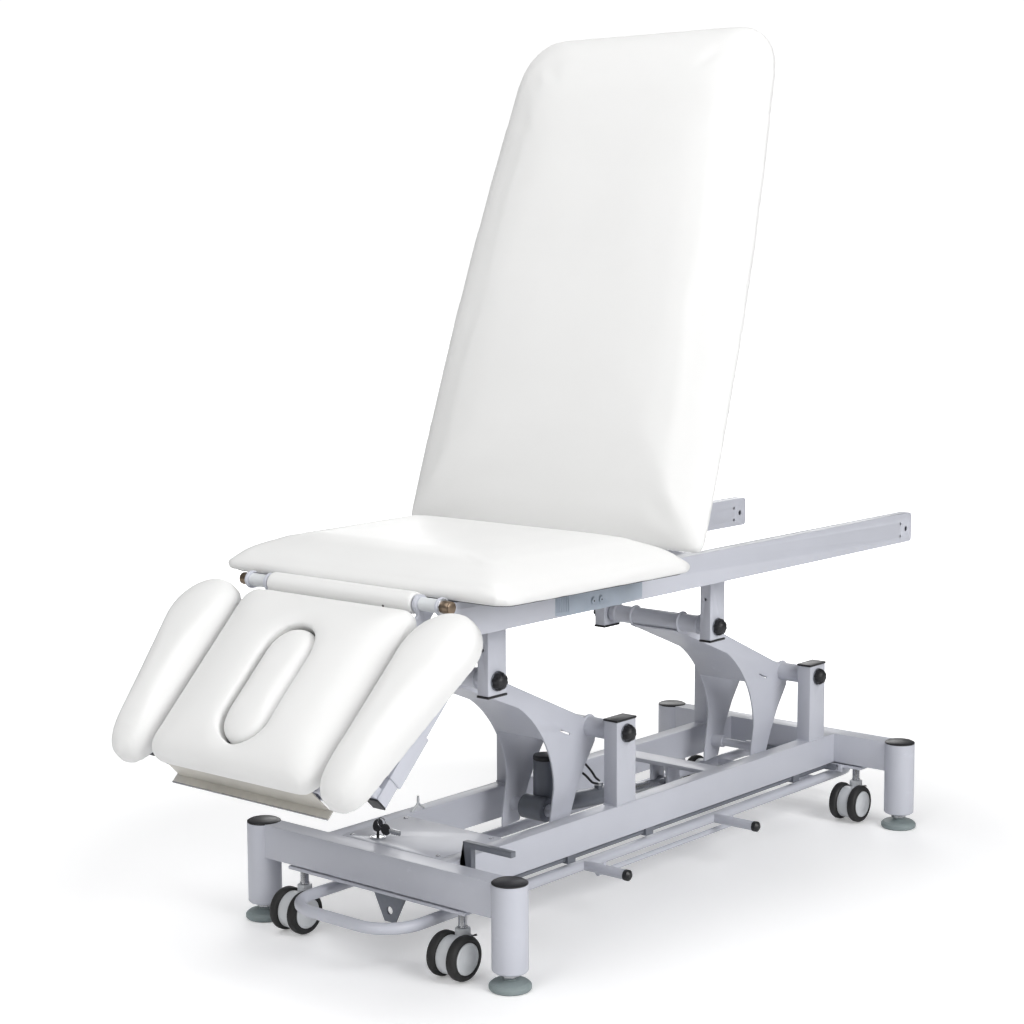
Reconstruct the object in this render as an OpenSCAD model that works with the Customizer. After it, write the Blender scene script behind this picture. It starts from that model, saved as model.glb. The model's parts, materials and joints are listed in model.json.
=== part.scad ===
// Three-section treatment chair on a four-leg base, raised by a parallelogram lift.
// Millimetres. X is across the chair, the short front section is toward -Y, Z is up.
// The origin is on the floor, under the middle of the whole chair.

/* [Base] */
// Distance between the leg centres, side to side
leg_spacing_x = 570; // [540:5:640]
// Distance between the leg centres, front to back
leg_spacing_y = 1220; // [1210:10:1300]
// Outer diameter of a leg tube
leg_d = 60; // [50:1:64]
// Height of the leg caps' undersides above the floor
leg_top = 175; // [173:1:180]
// Height of a frame tube's section
tube_h = 60; // [50:1:64]
// Height of the base frame's top face
frame_top = 177; // [174:1:178]
// Depth of a crossbeam's section
beam_depth = 40; // [34:1:46]
// Width of a long rail's section
rail_w = 30; // [26:1:34]
// Half the distance between the long rails' outer faces
rail_out = 143; // [140:1:160]
// Wall of the frame tubes
tube_wall = 3; // [2:0.5:5]

/* [Lift] */
// Horizontal distance between an arm's two pivots
arm_reach = 350; // [345:1:356]
// Height of an arm's top pivot over its bottom pivot
arm_rise = 152; // [148:1:158]
// Height of an arm's bottom pivot above the floor
post_pivot_z = 308; // [304:1:312]
// Half the distance between an arm's plates, outside
arm_out = 58; // [54:1:64]
// Thickness of an arm's plates
arm_plate = 4; // [3:0.5:6]
// Diameter of an arm's top tube
arm_tube_top_d = 34; // [30:1:38]
// Diameter of an arm's bottom tube
arm_tube_low_d = 36; // [32:1:38]
// Diameter of the four pivot axles
axle_d = 16; // [12:1:18]
// Distance between the front and the rear arm
arm_pitch = 640; // [620:5:650]
// Distance of the front posts' middles behind the front legs' centres
post_y = 492; // [486:1:500]

/* [Top frame] */
// Half the distance between the top rails' outer faces
top_out = 219; // [210:1:230]
// Width of a top rail's section
top_rail_w = 25; // [20:1:30]
// Height of the top rails' top face at rest
top_z = 627; // [622:1:632]
// Length of the top rails
top_rail_l = 1411; // [1380:1:1440]
// Width of a hanger's section
hanger_w = 24; // [20:1:26]
// Depth of a hanger's section
hanger_depth = 47; // [40:1:50]

/* [Seat] */
// Width of the seat at its front edge
seat_w = 650; // [630:2:684]
// Width of the seat at its rear edge
seat_rear_w = 684; // [650:2:700]
// Length of the seat
seat_l = 484; // [470:2:488]
// Height of the pads' edges over their undersides
edge_h = 24; // [18:1:28]
// Thickness of the boards under the pads
board_h = 12; // [9:1:15]
// Rise of the seat's middle over its edge
seat_crown = 46; // [30:1:50]

/* [Back] */
// Length of the back's pad
back_l = 964; // [860:2:970]
// Width of the back at the seat
back_w = 680; // [640:2:700]
// Width of the back at its far end
back_end_w = 580; // [540:2:640]
// Bulge of the back's sides halfway up
back_bow = 16; // [0:1:20]
// Rise of the back's middle over its edge
back_crown = 36; // [20:1:44]
// Raised angle of the back at rest, in degrees
back_angle = 71.6; // [60:0.1:74]
// Radius of the back's far corners
back_corner = 90; // [40:1:140]

/* [Front section] */
// Length of the front pad
front_l = 342; // [330:2:360]
// Width of the front pad at the hinge
front_w = 384; // [370:2:390]
// Width of the front pad at its free end
front_end_w = 380; // [350:2:384]
// Rise of the front pad's middle over its edge
front_crown = 22; // [10:1:26]
// Slope of the front section at rest, in degrees
front_drop = 45; // [30:1:50]
// Width of the opening in the front pad
hole_w = 102; // [80:1:110]
// Length of the opening in the front pad
hole_l = 226; // [180:1:230]
// Width of an armrest at the hinge end
armrest_w = 142; // [120:1:144]
// Width of an armrest at its free end
armrest_end_w = 92; // [76:1:94]
// Thickness of an armrest
armrest_h = 56; // [46:1:60]

/* [Castors and foot bar] */
// Diameter of a castor wheel
wheel_d = 75; // [60:1:76]
// Distance from a castor's swivel axis to its axle
castor_trail = 22; // [16:1:23]
// Half the distance between the castors' swivel axes, side to side
castor_x = 184; // [182:1:187]
// Gap between the raised wheels and the floor
wheel_gap = 2; // [1:0.5:3]
// Diameter of the foot bar's tube
bar_d = 20; // [16:1:20]
// Half the distance between the foot bar's long sides
bar_half_x = 125; // [123:1:125]
// Height of the foot bar's middle above the floor
bar_z = 84; // [82:1:84]
// Diameter of a levelling foot
foot_d = 70; // [60:1:74]
// Height of a levelling foot
foot_h = 12; // [10:1:16]

/* [Hidden] */
$fn = 48;

paint = [0.78, 0.80, 0.84];
black = [0.10, 0.10, 0.11];
dark_steel = [0.36, 0.37, 0.39];
vinyl = [0.93, 0.93, 0.92];
plywood = [0.72, 0.58, 0.42];
white_plastic = [0.90, 0.90, 0.90];

// Overrun of a cut past the face that it opens
over = 1;
// Clearance around a running axle, on the diameter
running = 0.1;
// Clearance between a pad and what is beside it
soft_gap = 0.5;
// Clearance of a sliding square tube on each side
slide_gap = 0.3;
// Turns and halves
half = 1 / 2;
right_angle = 90;
turn = 360;

// Places along Y are measured from the front legs' centres, and shifted at the end
front_reach = 110;
origin_y = -(leg_spacing_y / 2 - front_reach);
frame_low = frame_top - tube_h;
leg_x = leg_spacing_x / 2;
rail_in = rail_out - rail_w;
leg_low = 30;
leg_wall = 3;
leg_plate_h = 8;
stem_d = 12;
stem_l = 44;
cap_h = 4;
cap_lip = 1;

post_d = 56;
post_top = post_pivot_z + 23;
post_x = rail_out - rail_w / 2;
dome_r = 13;
dome_h = 14;

hanger_y = post_y - arm_reach;
hanger_pivot_z = post_pivot_z + arm_rise;
hanger_low = hanger_pivot_z - 24;
hanger_x = rail_out - rail_w / 2 - 1.5;
top_low = top_z - tube_h;
top_front_y = -45;
top_x = top_out - top_rail_w / 2;
top_wall = 2.5;
cross_w = 40;
cross_h = 26;

// Arm side plate, as shares of the reach and of the drop from the bottom pivot to the arm's foot
arm_drop = 186;
arm_top_share = [[-0.98, 0.909], [-0.04, 0.100]];
arm_rear_share = [[0.055, -0.075], [0.046, -0.167], [-0.046, -0.403], [-0.114, -0.634], [-0.157, -0.823],
    [-0.189, -0.978]];
arm_foot_share = [-0.326, -1];
arm_knee_share = [-0.292, -0.53];
arm_elbow_share = [-0.574, 0.366];
arm_low_share = [-1.037, 0.726];
elbow_pull_share = [[-0.43, 0.20], [-0.285, -0.16]];
knee_pull_share = [[-0.310, -0.70], [-0.330, -0.86]];
curve_steps = 12;
web_t = 3;
web_end_share = -0.08;
arm_eye = 4;
crank_share = [-0.237, -0.785];
crank_d = 24;
pin_d = 12;
slot_w = 3;
slot_l = 30;
slot_share = [-0.24, 0.03];
slot_slope = 24;

// Places of the lift motor and its spindle, from the crank axle
motor_y = 25;
motor_d = 42;
motor_top = 94;
gear_half = 26;
gear_half_h = 22;
gear_block = 18;
outer_tube_d = 34;
outer_tube = [40, 240];
rod_d = 20;
rod_start = 150;
eye_d = 24;
eye_w = 30;

crank_y = post_y + crank_share[0] * arm_reach;
crank_z = post_pivot_z + crank_share[1] * arm_drop;
clevis_y = 805;
clevis_z = 130;
spindle_l = norm([clevis_y - crank_y, clevis_z - crank_z]);
spindle_slope = atan2(clevis_z - crank_z, clevis_y - crank_y);
crossbar_y = [778, 818];
crossbar_t = 8;
cheek_gap = 32;
cheek_t = 6;

// Seat and back joints
seat_y = top_front_y - 9;
seat_corner = 30;
seat_rear_corner = 30;
pad_corner = 14;
seat_z = top_z;
back_pivot_y = seat_y + seat_l + 18;
back_pivot_z = top_z + 7;
back_gap = 20;
back_low = 0;
back_tube = 25;
back_tube_x = 150;
shaft_d = 14;
ear_t = 6;
strut_d = 22;
strut_rod_d = 10;
strut_pin_d = 10;
strut_anchor_y = 90;
strut_anchor_z = -30;
strut_reach = 378;
strut_sink = 13;
strut_foot_y = back_pivot_y + strut_reach;
strut_foot_z = back_pivot_z - strut_sink;
strut_tube_l = 235;
strut_rod_in = 160;

// Front section, from its hinge: s runs away from the hinge, and n is up when the section is level
hinge_y = -79;
hinge_z = top_z - 3;
pad_start = 22;
pad_low = -8;
front_end = pad_start + front_l;
section_tube = 25;
section_tube_x = 170;
hole_s = 206;
arm_pad_s = 13;
arm_pad_l = 366;
arm_pad_low = -11;
arm_pad_x = 277;
arm_pad_turn = 6.5;
sleeve_out = 31;
sleeve_s = [200, 290];
armrest_post_x = 262;
armrest_post_n = -45;
armrest_post_start = 84;
armrest_post_end = 327;

// Castors, foot bar and what moves them
castor_bar_h = 6;
castor_bar_top = frame_low - 3;
castor_bar_low = castor_bar_top - castor_bar_h;
castor_bar_half = 19;
wheel_axle_z = wheel_gap + wheel_d / 2;
wheel_w = 17.5;
wheel_in = 12.5;
lever_x = 128;
lever_z = frame_low - 8;
lever_y = [40, 52];
shaft_y = [30, 1190];
lever_rod_d = 12;
crank_arm = 23;
crank_pin_d = 8;
bar_over = 108;
bar_corner = 70;
peg_ys = [388, 790];
peg_l = 95;
peg_d = 18;

// Shifts a piece from the front legs' place to the chair's own origin
module placed() {
    translate([0, origin_y, 0]) children();
}

module block(x, y, z) {
    translate([x[0], y[0], z[0]]) cube([x[1] - x[0], y[1] - y[0], z[1] - z[0]]);
}

module rod_x(d, x, y, z) {
    translate([x[0], y, z]) rotate([0, right_angle, 0]) cylinder(d = d, h = x[1] - x[0]);
}

module rod_y(d, x, y, z) {
    translate([x, y[0], z]) rotate([-right_angle, 0, 0]) cylinder(d = d, h = y[1] - y[0]);
}

module rod_z(d, x, y, z) {
    translate([x, y, z[0]]) cylinder(d = d, h = z[1] - z[0]);
}

// An outline in Y and Z, given a width along X
module side_plate(x) {
    translate([x[0], 0, 0]) rotate([right_angle, 0, right_angle])
        linear_extrude(height = x[1] - x[0]) children();
}

module hollow_block(x, y, z, wall, along) {
    skin = [for (k = [0:2]) k == along ? -over : wall];
    difference() {
        block(x, y, z);
        block([x[0] + skin[0], x[1] - skin[0]], [y[0] + skin[1], y[1] - skin[1]],
            [z[0] + skin[2], z[1] - skin[2]]);
    }
}

module both_sides() {
    children();
    mirror([1, 0, 0]) children();
}

module at_legs() {
    for (x = [-leg_x, leg_x])
        for (y = [0, leg_spacing_y])
            translate([x, y, 0]) children();
}

function mix(a, b, t) = a * (1 - t) + b * t;
function bezier(a, b, c, d, t) = mix(mix(mix(a, b, t), mix(b, c, t), t), mix(mix(b, c, t), mix(c, d, t), t), t);

// Outline of a pad from y = 0 to y = l, as wide as w0 and w1 there, with corner radii r0 and r1
corner_steps = 7;
side_steps = 5;
function corner(x, y, r, from) = [for (k = [0:corner_steps])
    [x + r * cos(from + right_angle * k / corner_steps), y + r * sin(from + right_angle * k / corner_steps)]];
function side(a, b) = [for (k = [1:side_steps - 1]) mix(a, b, k / side_steps)];
function pad_outline(w0, w1, l, r0, r1) = concat(
    corner(w0 / 2 - r0, r0, r0, -right_angle), side([w0 / 2, r0], [w1 / 2, l - r1]),
    corner(w1 / 2 - r1, l - r1, r1, 0), corner(-w1 / 2 + r1, l - r1, r1, right_angle),
    side([-w1 / 2, l - r1], [-w0 / 2, r0]), corner(-w0 / 2 + r0, r0, r0, 2 * right_angle));
// The same with sides that bulge by bow halfway along
function bowed(outline, l, bow) = [for (p = outline)
    [p[0] + sign(p[0]) * 4 * bow * p[1] / l * (1 - p[1] / l), p[1]]];

// Rings of a pad: an edge that is widest halfway up and drawn in at both ends, then a crown
side_shares = [[0.6, 0], [0.15, 0.25], [0, 0.55], [0.25, 0.85], [1, 1]];
crown_shares = [[0.95, 0.30], [0.88, 0.52], [0.76, 0.76], [0.6, 0.92], [0.35, 1]];

module pad(outline, w, l, low, high, crown, draw) {
    n = len(outline);
    grow = [for (k = side_shares) [[1 - k[0] * draw / (w / 2), 1 - k[0] * draw / (l / 2)], mix(low, high, k[1])]];
    last = grow[len(grow) - 1][0];
    rings = concat(grow, [for (k = crown_shares) [last * k[0], high + crown * k[1]]]);
    middle = l / 2;
    points = concat(
        [for (g = rings) for (p = outline) [p[0] * g[0][0], middle + (p[1] - middle) * g[0][1], g[1]]],
        [[0, middle, low], [0, middle, high + crown]]);
    count = len(rings);
    faces = concat(
        [for (r = [0:count - 2]) for (k = [0:n - 1]) [r * n + k, (r + 1) * n + k, (r + 1) * n + (k + 1) % n]],
        [for (r = [0:count - 2]) for (k = [0:n - 1])
            [r * n + k, (r + 1) * n + (k + 1) % n, r * n + (k + 1) % n]],
        [for (k = [0:n - 1]) [count * n, k, (k + 1) % n]],
        [for (k = [0:n - 1]) [count * n + 1, (count - 1) * n + (k + 1) % n, (count - 1) * n + k]]);
    polyhedron(points = points, faces = faces);
}

// A pad whose cover wraps the edge of its board: the first child less a pocket for the second's outline
module wrapped(low) {
    difference() {
        children(0);
        translate([0, 0, low - over]) linear_extrude(height = board_h + over) children(1);
    }
}

// Base frame

guide_d = 12;
guide_x = 90;
ledge_w = 6;
cover_y = [20.5, 182];
cover_t = 3;

// The two long rails, the crossbar with the lift's clevis, and the ledges under the cover plate
module base_rails() {
    color(paint) placed() {
        both_sides() {
            hollow_block([rail_in, rail_out], [beam_depth / 2, leg_spacing_y - beam_depth / 2],
                [frame_low, frame_top], tube_wall, 1);
            block([rail_in - ledge_w, rail_in], [cover_y[0] + ledge_w, cover_y[1]],
                [frame_top - 2 * cover_t, frame_top - cover_t]);
            side_plate([cheek_gap / 2, cheek_gap / 2 + cheek_t]) polygon([
                [crossbar_y[0] + cheek_t, frame_top - crossbar_t], [crossbar_y[1] + cheek_t, frame_top - crossbar_t],
                [clevis_y + 20, clevis_z - eye_d / 2], [clevis_y + 8, clevis_z - eye_d],
                [clevis_y - 8, clevis_z - eye_d], [clevis_y - 20, clevis_z - eye_d / 2]]);
        }
        block([-rail_in, rail_in], [crossbar_y[0], crossbar_y[1] + cheek_t], [frame_top - crossbar_t, frame_top]);
    }
}

module crossbeams() {
    color(paint) placed()
        for (y = [0, leg_spacing_y])
            translate([0, y, 0]) difference() {
                hollow_block([-leg_x, leg_x], [-beam_depth / 2, beam_depth / 2], [frame_low, frame_top],
                    tube_wall, 0);
                for (x = [-leg_x, leg_x])
                    rod_z(leg_d, x, 0, [frame_low - over, frame_top + over]);
                for (x = [-guide_x, guide_x])
                    rod_z(guide_d + 2 * running, x, 0, [frame_low - over, frame_low + tube_wall + over]);
            }
}

leg_chamfer = 3;

module legs() {
    color(paint) placed() at_legs() difference() {
        rotate_extrude() polygon([[0, leg_low], [leg_d / 2 - leg_chamfer, leg_low],
            [leg_d / 2, leg_low + leg_chamfer], [leg_d / 2, leg_top], [0, leg_top]]);
        translate([0, 0, leg_low + leg_plate_h]) cylinder(d = leg_d - 2 * leg_wall, h = leg_top);
        translate([0, 0, leg_low - over]) cylinder(d = stem_d + running, h = leg_plate_h + 2 * over);
    }
}

module end_cap(x, y, z) {
    block([x[0] - cap_lip, x[1] + cap_lip], [y[0] - cap_lip, y[1] + cap_lip], [z, z + cap_h]);
}

plug_depth = 14;
plug_gap = 0.4;

module base_end_caps() {
    color(black) placed() {
        at_legs() {
            translate([0, 0, leg_top]) rotate_extrude() polygon([[0, 0], [leg_d / 2 - running, 0],
                [leg_d / 2 - running, cap_h / 2], [leg_d / 2 - cap_h, cap_h], [0, cap_h]]);
            translate([0, 0, leg_top - plug_depth]) cylinder(d = leg_d - 2 * leg_wall - plug_gap, h = plug_depth);
        }
        both_sides() for (y = [post_y, post_y + arm_pitch]) {
            end_cap([rail_in, rail_out], [y - post_d / 2, y + post_d / 2], post_top);
            block([rail_in + tube_wall + plug_gap, rail_out - tube_wall - plug_gap],
                [y - post_d / 2 + tube_wall + plug_gap, y + post_d / 2 - tube_wall - plug_gap],
                [post_top - cap_h, post_top]);
        }
    }
}

foot_chamfer = 3;
foot_neck_d = 22;

module levelling_foot(x, y) {
    color(dark_steel) placed() translate([x, y, 0]) {
        rotate_extrude() polygon([[0, 0], [foot_d / 2 - foot_chamfer, 0], [foot_d / 2, foot_chamfer],
            [foot_d / 2, foot_h - foot_chamfer], [foot_d / 2 - foot_chamfer, foot_h], [0, foot_h]]);
        cylinder(d = foot_neck_d, h = leg_low - over);
        cylinder(d = stem_d, h = leg_low + stem_l);
    }
}

module foot_front_left() { levelling_foot(-leg_x, 0); }
module foot_front_right() { levelling_foot(leg_x, 0); }
module foot_rear_left() { levelling_foot(-leg_x, leg_spacing_y); }
module foot_rear_right() { levelling_foot(leg_x, leg_spacing_y); }

module posts() {
    color(paint) placed() both_sides() for (y = [post_y, post_y + arm_pitch]) difference() {
        hollow_block([rail_in, rail_out], [y - post_d / 2, y + post_d / 2], [frame_top, post_top], tube_wall, 2);
        rod_x(axle_d + running, [rail_in - over, rail_out + over], y, post_pivot_z);
    }
}

// Cover plate of the front bay, with its lock and keys
lock_x = -52;
lock_y = 48;
lock_d = 22;
lock_rim_d = 27;
lock_rim_h = 2;
lock_l = 24;
key_shank_d = 5;
key_in = 14;
bow_d = 22;
bow_t = 3;
bow_z = 20;

module cover_plate() {
    color(paint) placed() difference() {
        block([-rail_in + slide_gap, rail_in - slide_gap], cover_y, [frame_top - cover_t, frame_top]);
        rod_z(lock_d + running, lock_x, lock_y, [frame_top - cover_t - over, frame_top + over]);
    }
}

// Control unit of the lift, hung under the cover plate
box_half_x = 80;
box_y = [66, 164];
box_h = 46;
box_round = 6;

module control_box() {
    color(black) placed() {
        block([-box_half_x, box_half_x], box_y, [frame_top - cover_t - box_h, frame_top - cover_t]);
        for (x = [-box_half_x / 2, 0])
            rod_y(4 * box_round - 8, x, [box_y[1], box_y[1] + 2 * box_round], frame_top - cover_t - box_h / 2);
    }
}

module key_lock() {
    color(dark_steel) placed() translate([lock_x, lock_y, frame_top]) difference() {
        union() {
            cylinder(d = lock_rim_d, h = lock_rim_h);
            translate([0, 0, -lock_l]) cylinder(d = lock_d, h = lock_l);
        }
        translate([0, 0, lock_rim_h - key_in]) cylinder(d = key_shank_d + running, h = key_in + over);
    }
}

spare_bow_d = 20;
spare_l = 34;
spare_w = 7;
ring_r = 9;
ring_wire = 1.6;
spare_lift = 5;

module key() {
    color(black) placed() translate([lock_x, lock_y, frame_top + lock_rim_h]) {
        translate([0, 0, -key_in + over]) cylinder(d = key_shank_d, h = key_in + bow_z - bow_d / 2);
        translate([-bow_t / 2, 0, bow_z]) rotate([0, right_angle, 0]) difference() {
            cylinder(d = bow_d, h = bow_t);
            translate([-bow_d / 4, 0, -over]) cylinder(d = 3 * ring_wire, h = bow_t + 2 * over);
        }
        translate([ring_r, 0, bow_z + bow_d / 4]) rotate([right_angle, 0, 0])
            rotate_extrude() translate([ring_r, 0]) circle(d = ring_wire);
        translate([ring_r * 2, -bow_t / 2, bow_z + bow_d / 4 - spare_bow_d / 2]) {
            rotate([-right_angle, 0, 0]) cylinder(d = spare_bow_d, h = bow_t);
            translate([0, 0, -spare_w / 2]) cube([spare_l, bow_t, spare_w]);
        }
    }
}

// Bearing blocks of the castor shaft and the two brackets that the foot bar hangs on
block_ys = [340, 570, 1065];
block_l = 22;
block_half = 10;
block_low = 101;
bracket_t = 4;
bracket_half = 38;
bracket_foot = 12;
bracket_drop = 21;
bracket_tip = 38;
window_drop = 18;
bar_pin_d = 8;
bar_pin_l = 50;
bracket_window_d = 14;

module bar_bracket() {
    y = beam_depth / 2;
    difference() {
        translate([0, y + bracket_t, 0]) rotate([right_angle, 0, 0]) linear_extrude(height = bracket_t) polygon([
            [-bracket_half, frame_low + bracket_foot], [-bracket_half, frame_low - bracket_drop],
            [-bracket_foot, bar_z - bracket_tip], [bracket_foot, bar_z - bracket_tip],
            [bracket_half, frame_low - bracket_drop], [bracket_half, frame_low + bracket_foot]]);
        translate([0, y - over, bar_z - window_drop]) rotate([-right_angle, 0, 0])
            cylinder(d = bracket_window_d, h = bracket_t + 2 * over);
    }
    rod_y(bar_pin_d, 0, [y, y + bar_pin_l], bar_z);
}

module underframe_brackets() {
    color(dark_steel) placed() {
        for (y = block_ys) difference() {
            block([lever_x - block_half, lever_x + block_half], [y - block_l / 2, y + block_l / 2],
                [block_low, frame_low]);
            rod_y(lever_rod_d + running, lever_x, [y - block_l, y + block_l], lever_z);
        }
        bar_bracket();
        translate([0, leg_spacing_y, 0]) mirror([0, 1, 0]) bar_bracket();
    }
}

// Two leads that arch from the motor's back down to the spindle's outer tube
cable_d = 5;
cable_sides = 8;
cable_x = 6;
cable_start_y = 459;
cable_routes = [
    [[-6, 459, 240], [-6, 463, 241], [-6, 468, 247], [-5, 475, 255], [-4, 486, 256], [-4, 500, 252], [-4, 513, 245],
        [-4, 525, 238], [-4, 536, 232], [-5, 545, 226], [-6, 554, 219], [-6, 562, 212], [-6, 571, 204],
        [-6, 579, 196], [-6, 585, 189], [-6, 591, 181], [-6, 598, 176], [-6, 605, 171.5]],
    [[6, 459, 225], [6, 465, 226], [6, 474, 228], [5, 484, 227], [4, 494, 224], [4, 505, 219], [4, 520, 212],
        [4, 536, 204], [5, 546, 197], [5, 553, 191], [6, 560, 184], [6, 567, 178], [6, 576, 175],
        [6, 585, 172.5]]];
cable_boss_d = 9;
cable_boss_h = 5;
cable_boss_z = [240, 225];
cable_clip = [[598, 609], [579, 590]];
cable_clip_low = 150;
cable_clip_high = [169, 170];

function unit(v) = v / norm(v);
function across(v) = unit(cross(v, [0, 0, 1]) + [0, 0, 0]);

module swept(route, d, sides) {
    n = len(route);
    dirs = [for (k = [0:n - 1]) unit(route[min(k + 1, n - 1)] - route[max(k - 1, 0)])];
    points = [for (k = [0:n - 1]) let (u = across(dirs[k]), v = cross(dirs[k], u))
        for (j = [0:sides - 1]) route[k] + (u * cos(turn * j / sides) + v * sin(turn * j / sides)) * d / 2];
    faces = concat(
        [for (k = [0:n - 2]) for (j = [0:sides - 1])
            [k * sides + j, (k + 1) * sides + (j + 1) % sides, (k + 1) * sides + j]],
        [for (k = [0:n - 2]) for (j = [0:sides - 1])
            [k * sides + j, k * sides + (j + 1) % sides, (k + 1) * sides + (j + 1) % sides]],
        [[for (j = [0:sides - 1]) sides - 1 - j + 0]],
        [[for (j = [0:sides - 1]) (n - 1) * sides + j]]);
    polyhedron(points = points, faces = faces);
}

module motor_cable() {
    color(black) placed() for (route = cable_routes) swept(route, cable_d, cable_sides);
}

// Lift

module axle_pair(out, y, z) {
    for (k = [0, arm_pitch]) {
        rod_x(axle_d, [-out, out], y + k, z);
        both_sides() translate([out, y + k, z]) rotate([0, right_angle, 0])
            rotate_extrude() polygon(concat([[0, 0], [dome_r, 0], [dome_r, dome_h / 3]],
                [for (k = [1:6]) [dome_r * cos(right_angle * k / 6), dome_h / 3
                    + dome_h * 2 / 3 * sin(right_angle * k / 6)]]));
    }
}

module post_axles() {
    color(black) placed() axle_pair(rail_out, post_y, post_pivot_z);
}

module hanger_axles() {
    color(black) placed() axle_pair(hanger_x + hanger_w / 2, hanger_y, hanger_pivot_z);
}

function arm_point(s) = [s[0] * arm_reach, s[1] * arm_drop];
arm_front = concat(
    [for (k = [0:curve_steps]) bezier(arm_point(arm_foot_share), arm_point(knee_pull_share[1]),
        arm_point(knee_pull_share[0]), arm_point(arm_knee_share), k / curve_steps)],
    [for (k = [1:curve_steps]) bezier(arm_point(arm_knee_share), arm_point(elbow_pull_share[1]),
        arm_point(elbow_pull_share[0]), arm_point(arm_elbow_share), k / curve_steps)],
    [arm_point(arm_low_share)]);
function left_of(v) = [v[1], -v[0]] / norm(v);
function shifted(line, by) = [for (k = [0:len(line) - 1])
    line[k] + by * left_of(line[min(k + 1, len(line) - 1)] - line[max(k - 1, 0)])];

module arm_outline() {
    polygon(concat([for (s = arm_top_share) arm_point(s)], [for (s = arm_rear_share) arm_point(s)], arm_front));
}

arm_web = [for (p = arm_front) if (p[1] > web_end_share * arm_drop) p];
arm_web_in = shifted(arm_web, web_t);

// One arm about its bottom pivot: two plates, a web, tubes at the pivots and an axle across the leg
module arm() {
    crank = arm_point(crank_share);
    inner = arm_out - arm_plate;
    top = [-arm_reach, arm_rise];
    difference() {
        union() {
            both_sides() side_plate([inner, arm_out]) union() {
                arm_outline();
                circle(d = arm_tube_low_d + 2 * arm_eye);
                translate(top) circle(d = arm_tube_top_d + 2 * arm_eye);
                translate(crank) circle(d = crank_d + arm_eye);
            }
            side_plate([-inner, inner]) polygon(concat(arm_web,
                [for (k = [len(arm_web) - 1:-1:0]) arm_web_in[k]]));
            rod_x(arm_tube_low_d, [-rail_in + 2 * over, rail_in - 2 * over], 0, 0);
            rod_x(arm_tube_top_d, [-rail_in + 2 * over, rail_in - 2 * over], top[0], top[1]);
            both_sides() {
                rod_x(crank_d, [gear_half + 2 * over, inner], crank[0], crank[1]);
                rod_x(arm_tube_top_d + arm_eye, [rail_in - 18, rail_in - 12], top[0], top[1]);
            }
            rod_x(axle_d, [-inner, inner], crank[0], crank[1]);
        }
        rod_x(axle_d + running, [-rail_out, rail_out], 0, 0);
        rod_x(axle_d + running, [-rail_out, rail_out], top[0], top[1]);
        both_sides() translate([inner - over, slot_share[0] * arm_reach, slot_share[1] * arm_drop])
            rotate([-slot_slope, 0, 0]) cube([arm_plate + 2 * over, slot_l, slot_w]);
    }
}

module front_arm() {
    color(paint) placed() translate([0, post_y, post_pivot_z]) arm();
}

module rear_arm() {
    color(paint) placed() translate([0, post_y + arm_pitch, post_pivot_z]) arm();
}

// Lift motor, its gear housing and the spindle's outer tube, on the front arm's crank axle
module lift_motor() {
    color(dark_steel) placed() translate([0, crank_y, crank_z]) difference() {
        union() {
            rod_x(2 * gear_half_h, [-gear_half, gear_half], 0, 0);
            block([-gear_block, gear_block], [0, motor_y], [-gear_block, gear_block]);
            rod_z(motor_d, 0, motor_y, [over - gear_block, motor_top]);
            rotate([spindle_slope, 0, 0]) rod_y(outer_tube_d, 0, outer_tube, 0);
            for (k = [0, 1]) {
                rod_y(cable_boss_d, (2 * k - 1) * cable_x, [motor_y + motor_d / 2 - cable_boss_h, cable_start_y - crank_y],
                    cable_boss_z[k] - crank_z);
                block([(2 * k - 1) * cable_x - cable_boss_h, (2 * k - 1) * cable_x + cable_boss_h],
                    [cable_clip[k][0] - crank_y, cable_clip[k][1] - crank_y],
                    [cable_clip_low - crank_z, cable_clip_high[k] - crank_z]);
            }
        }
        rod_x(axle_d + running, [-arm_out, arm_out], 0, 0);
        rotate([spindle_slope, 0, 0]) rod_y(rod_d + running, 0, [outer_tube[0] - 4, outer_tube[1] + over], 0);
    }
}

module lift_rod() {
    color(dark_steel) placed() translate([0, crank_y, crank_z]) rotate([spindle_slope, 0, 0]) {
        rod_y(rod_d, 0, [rod_start, spindle_l], 0);
        rod_x(eye_d, [-eye_w / 2, eye_w / 2], spindle_l, 0);
    }
}

// Top frame
rail_hole_d = 6;
rail_big_hole_d = 10;
rail_hole_yz = [[-44.5, -20], [-44.5, -46]];
rail_big_hole_yz = [-22, -32];
rail_corner = 7;
ear_r = 15;
back_ear_r = 13;

module rail_outline() {
    translate([top_front_y + rail_corner, top_low + rail_corner]) offset_box(top_rail_l, tube_h, rail_corner);
}

// A rectangle with round corners, made of boxes and circles so that its curves stay true
module offset_box(l, h, r) {
    union() {
        for (a = [0, l - 2 * r]) for (b = [0, h - 2 * r]) translate([a, b]) circle(r = r);
        translate([-r, 0]) square([l, h - 2 * r]);
        translate([0, -r]) square([l - 2 * r, h]);
    }
}

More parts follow.
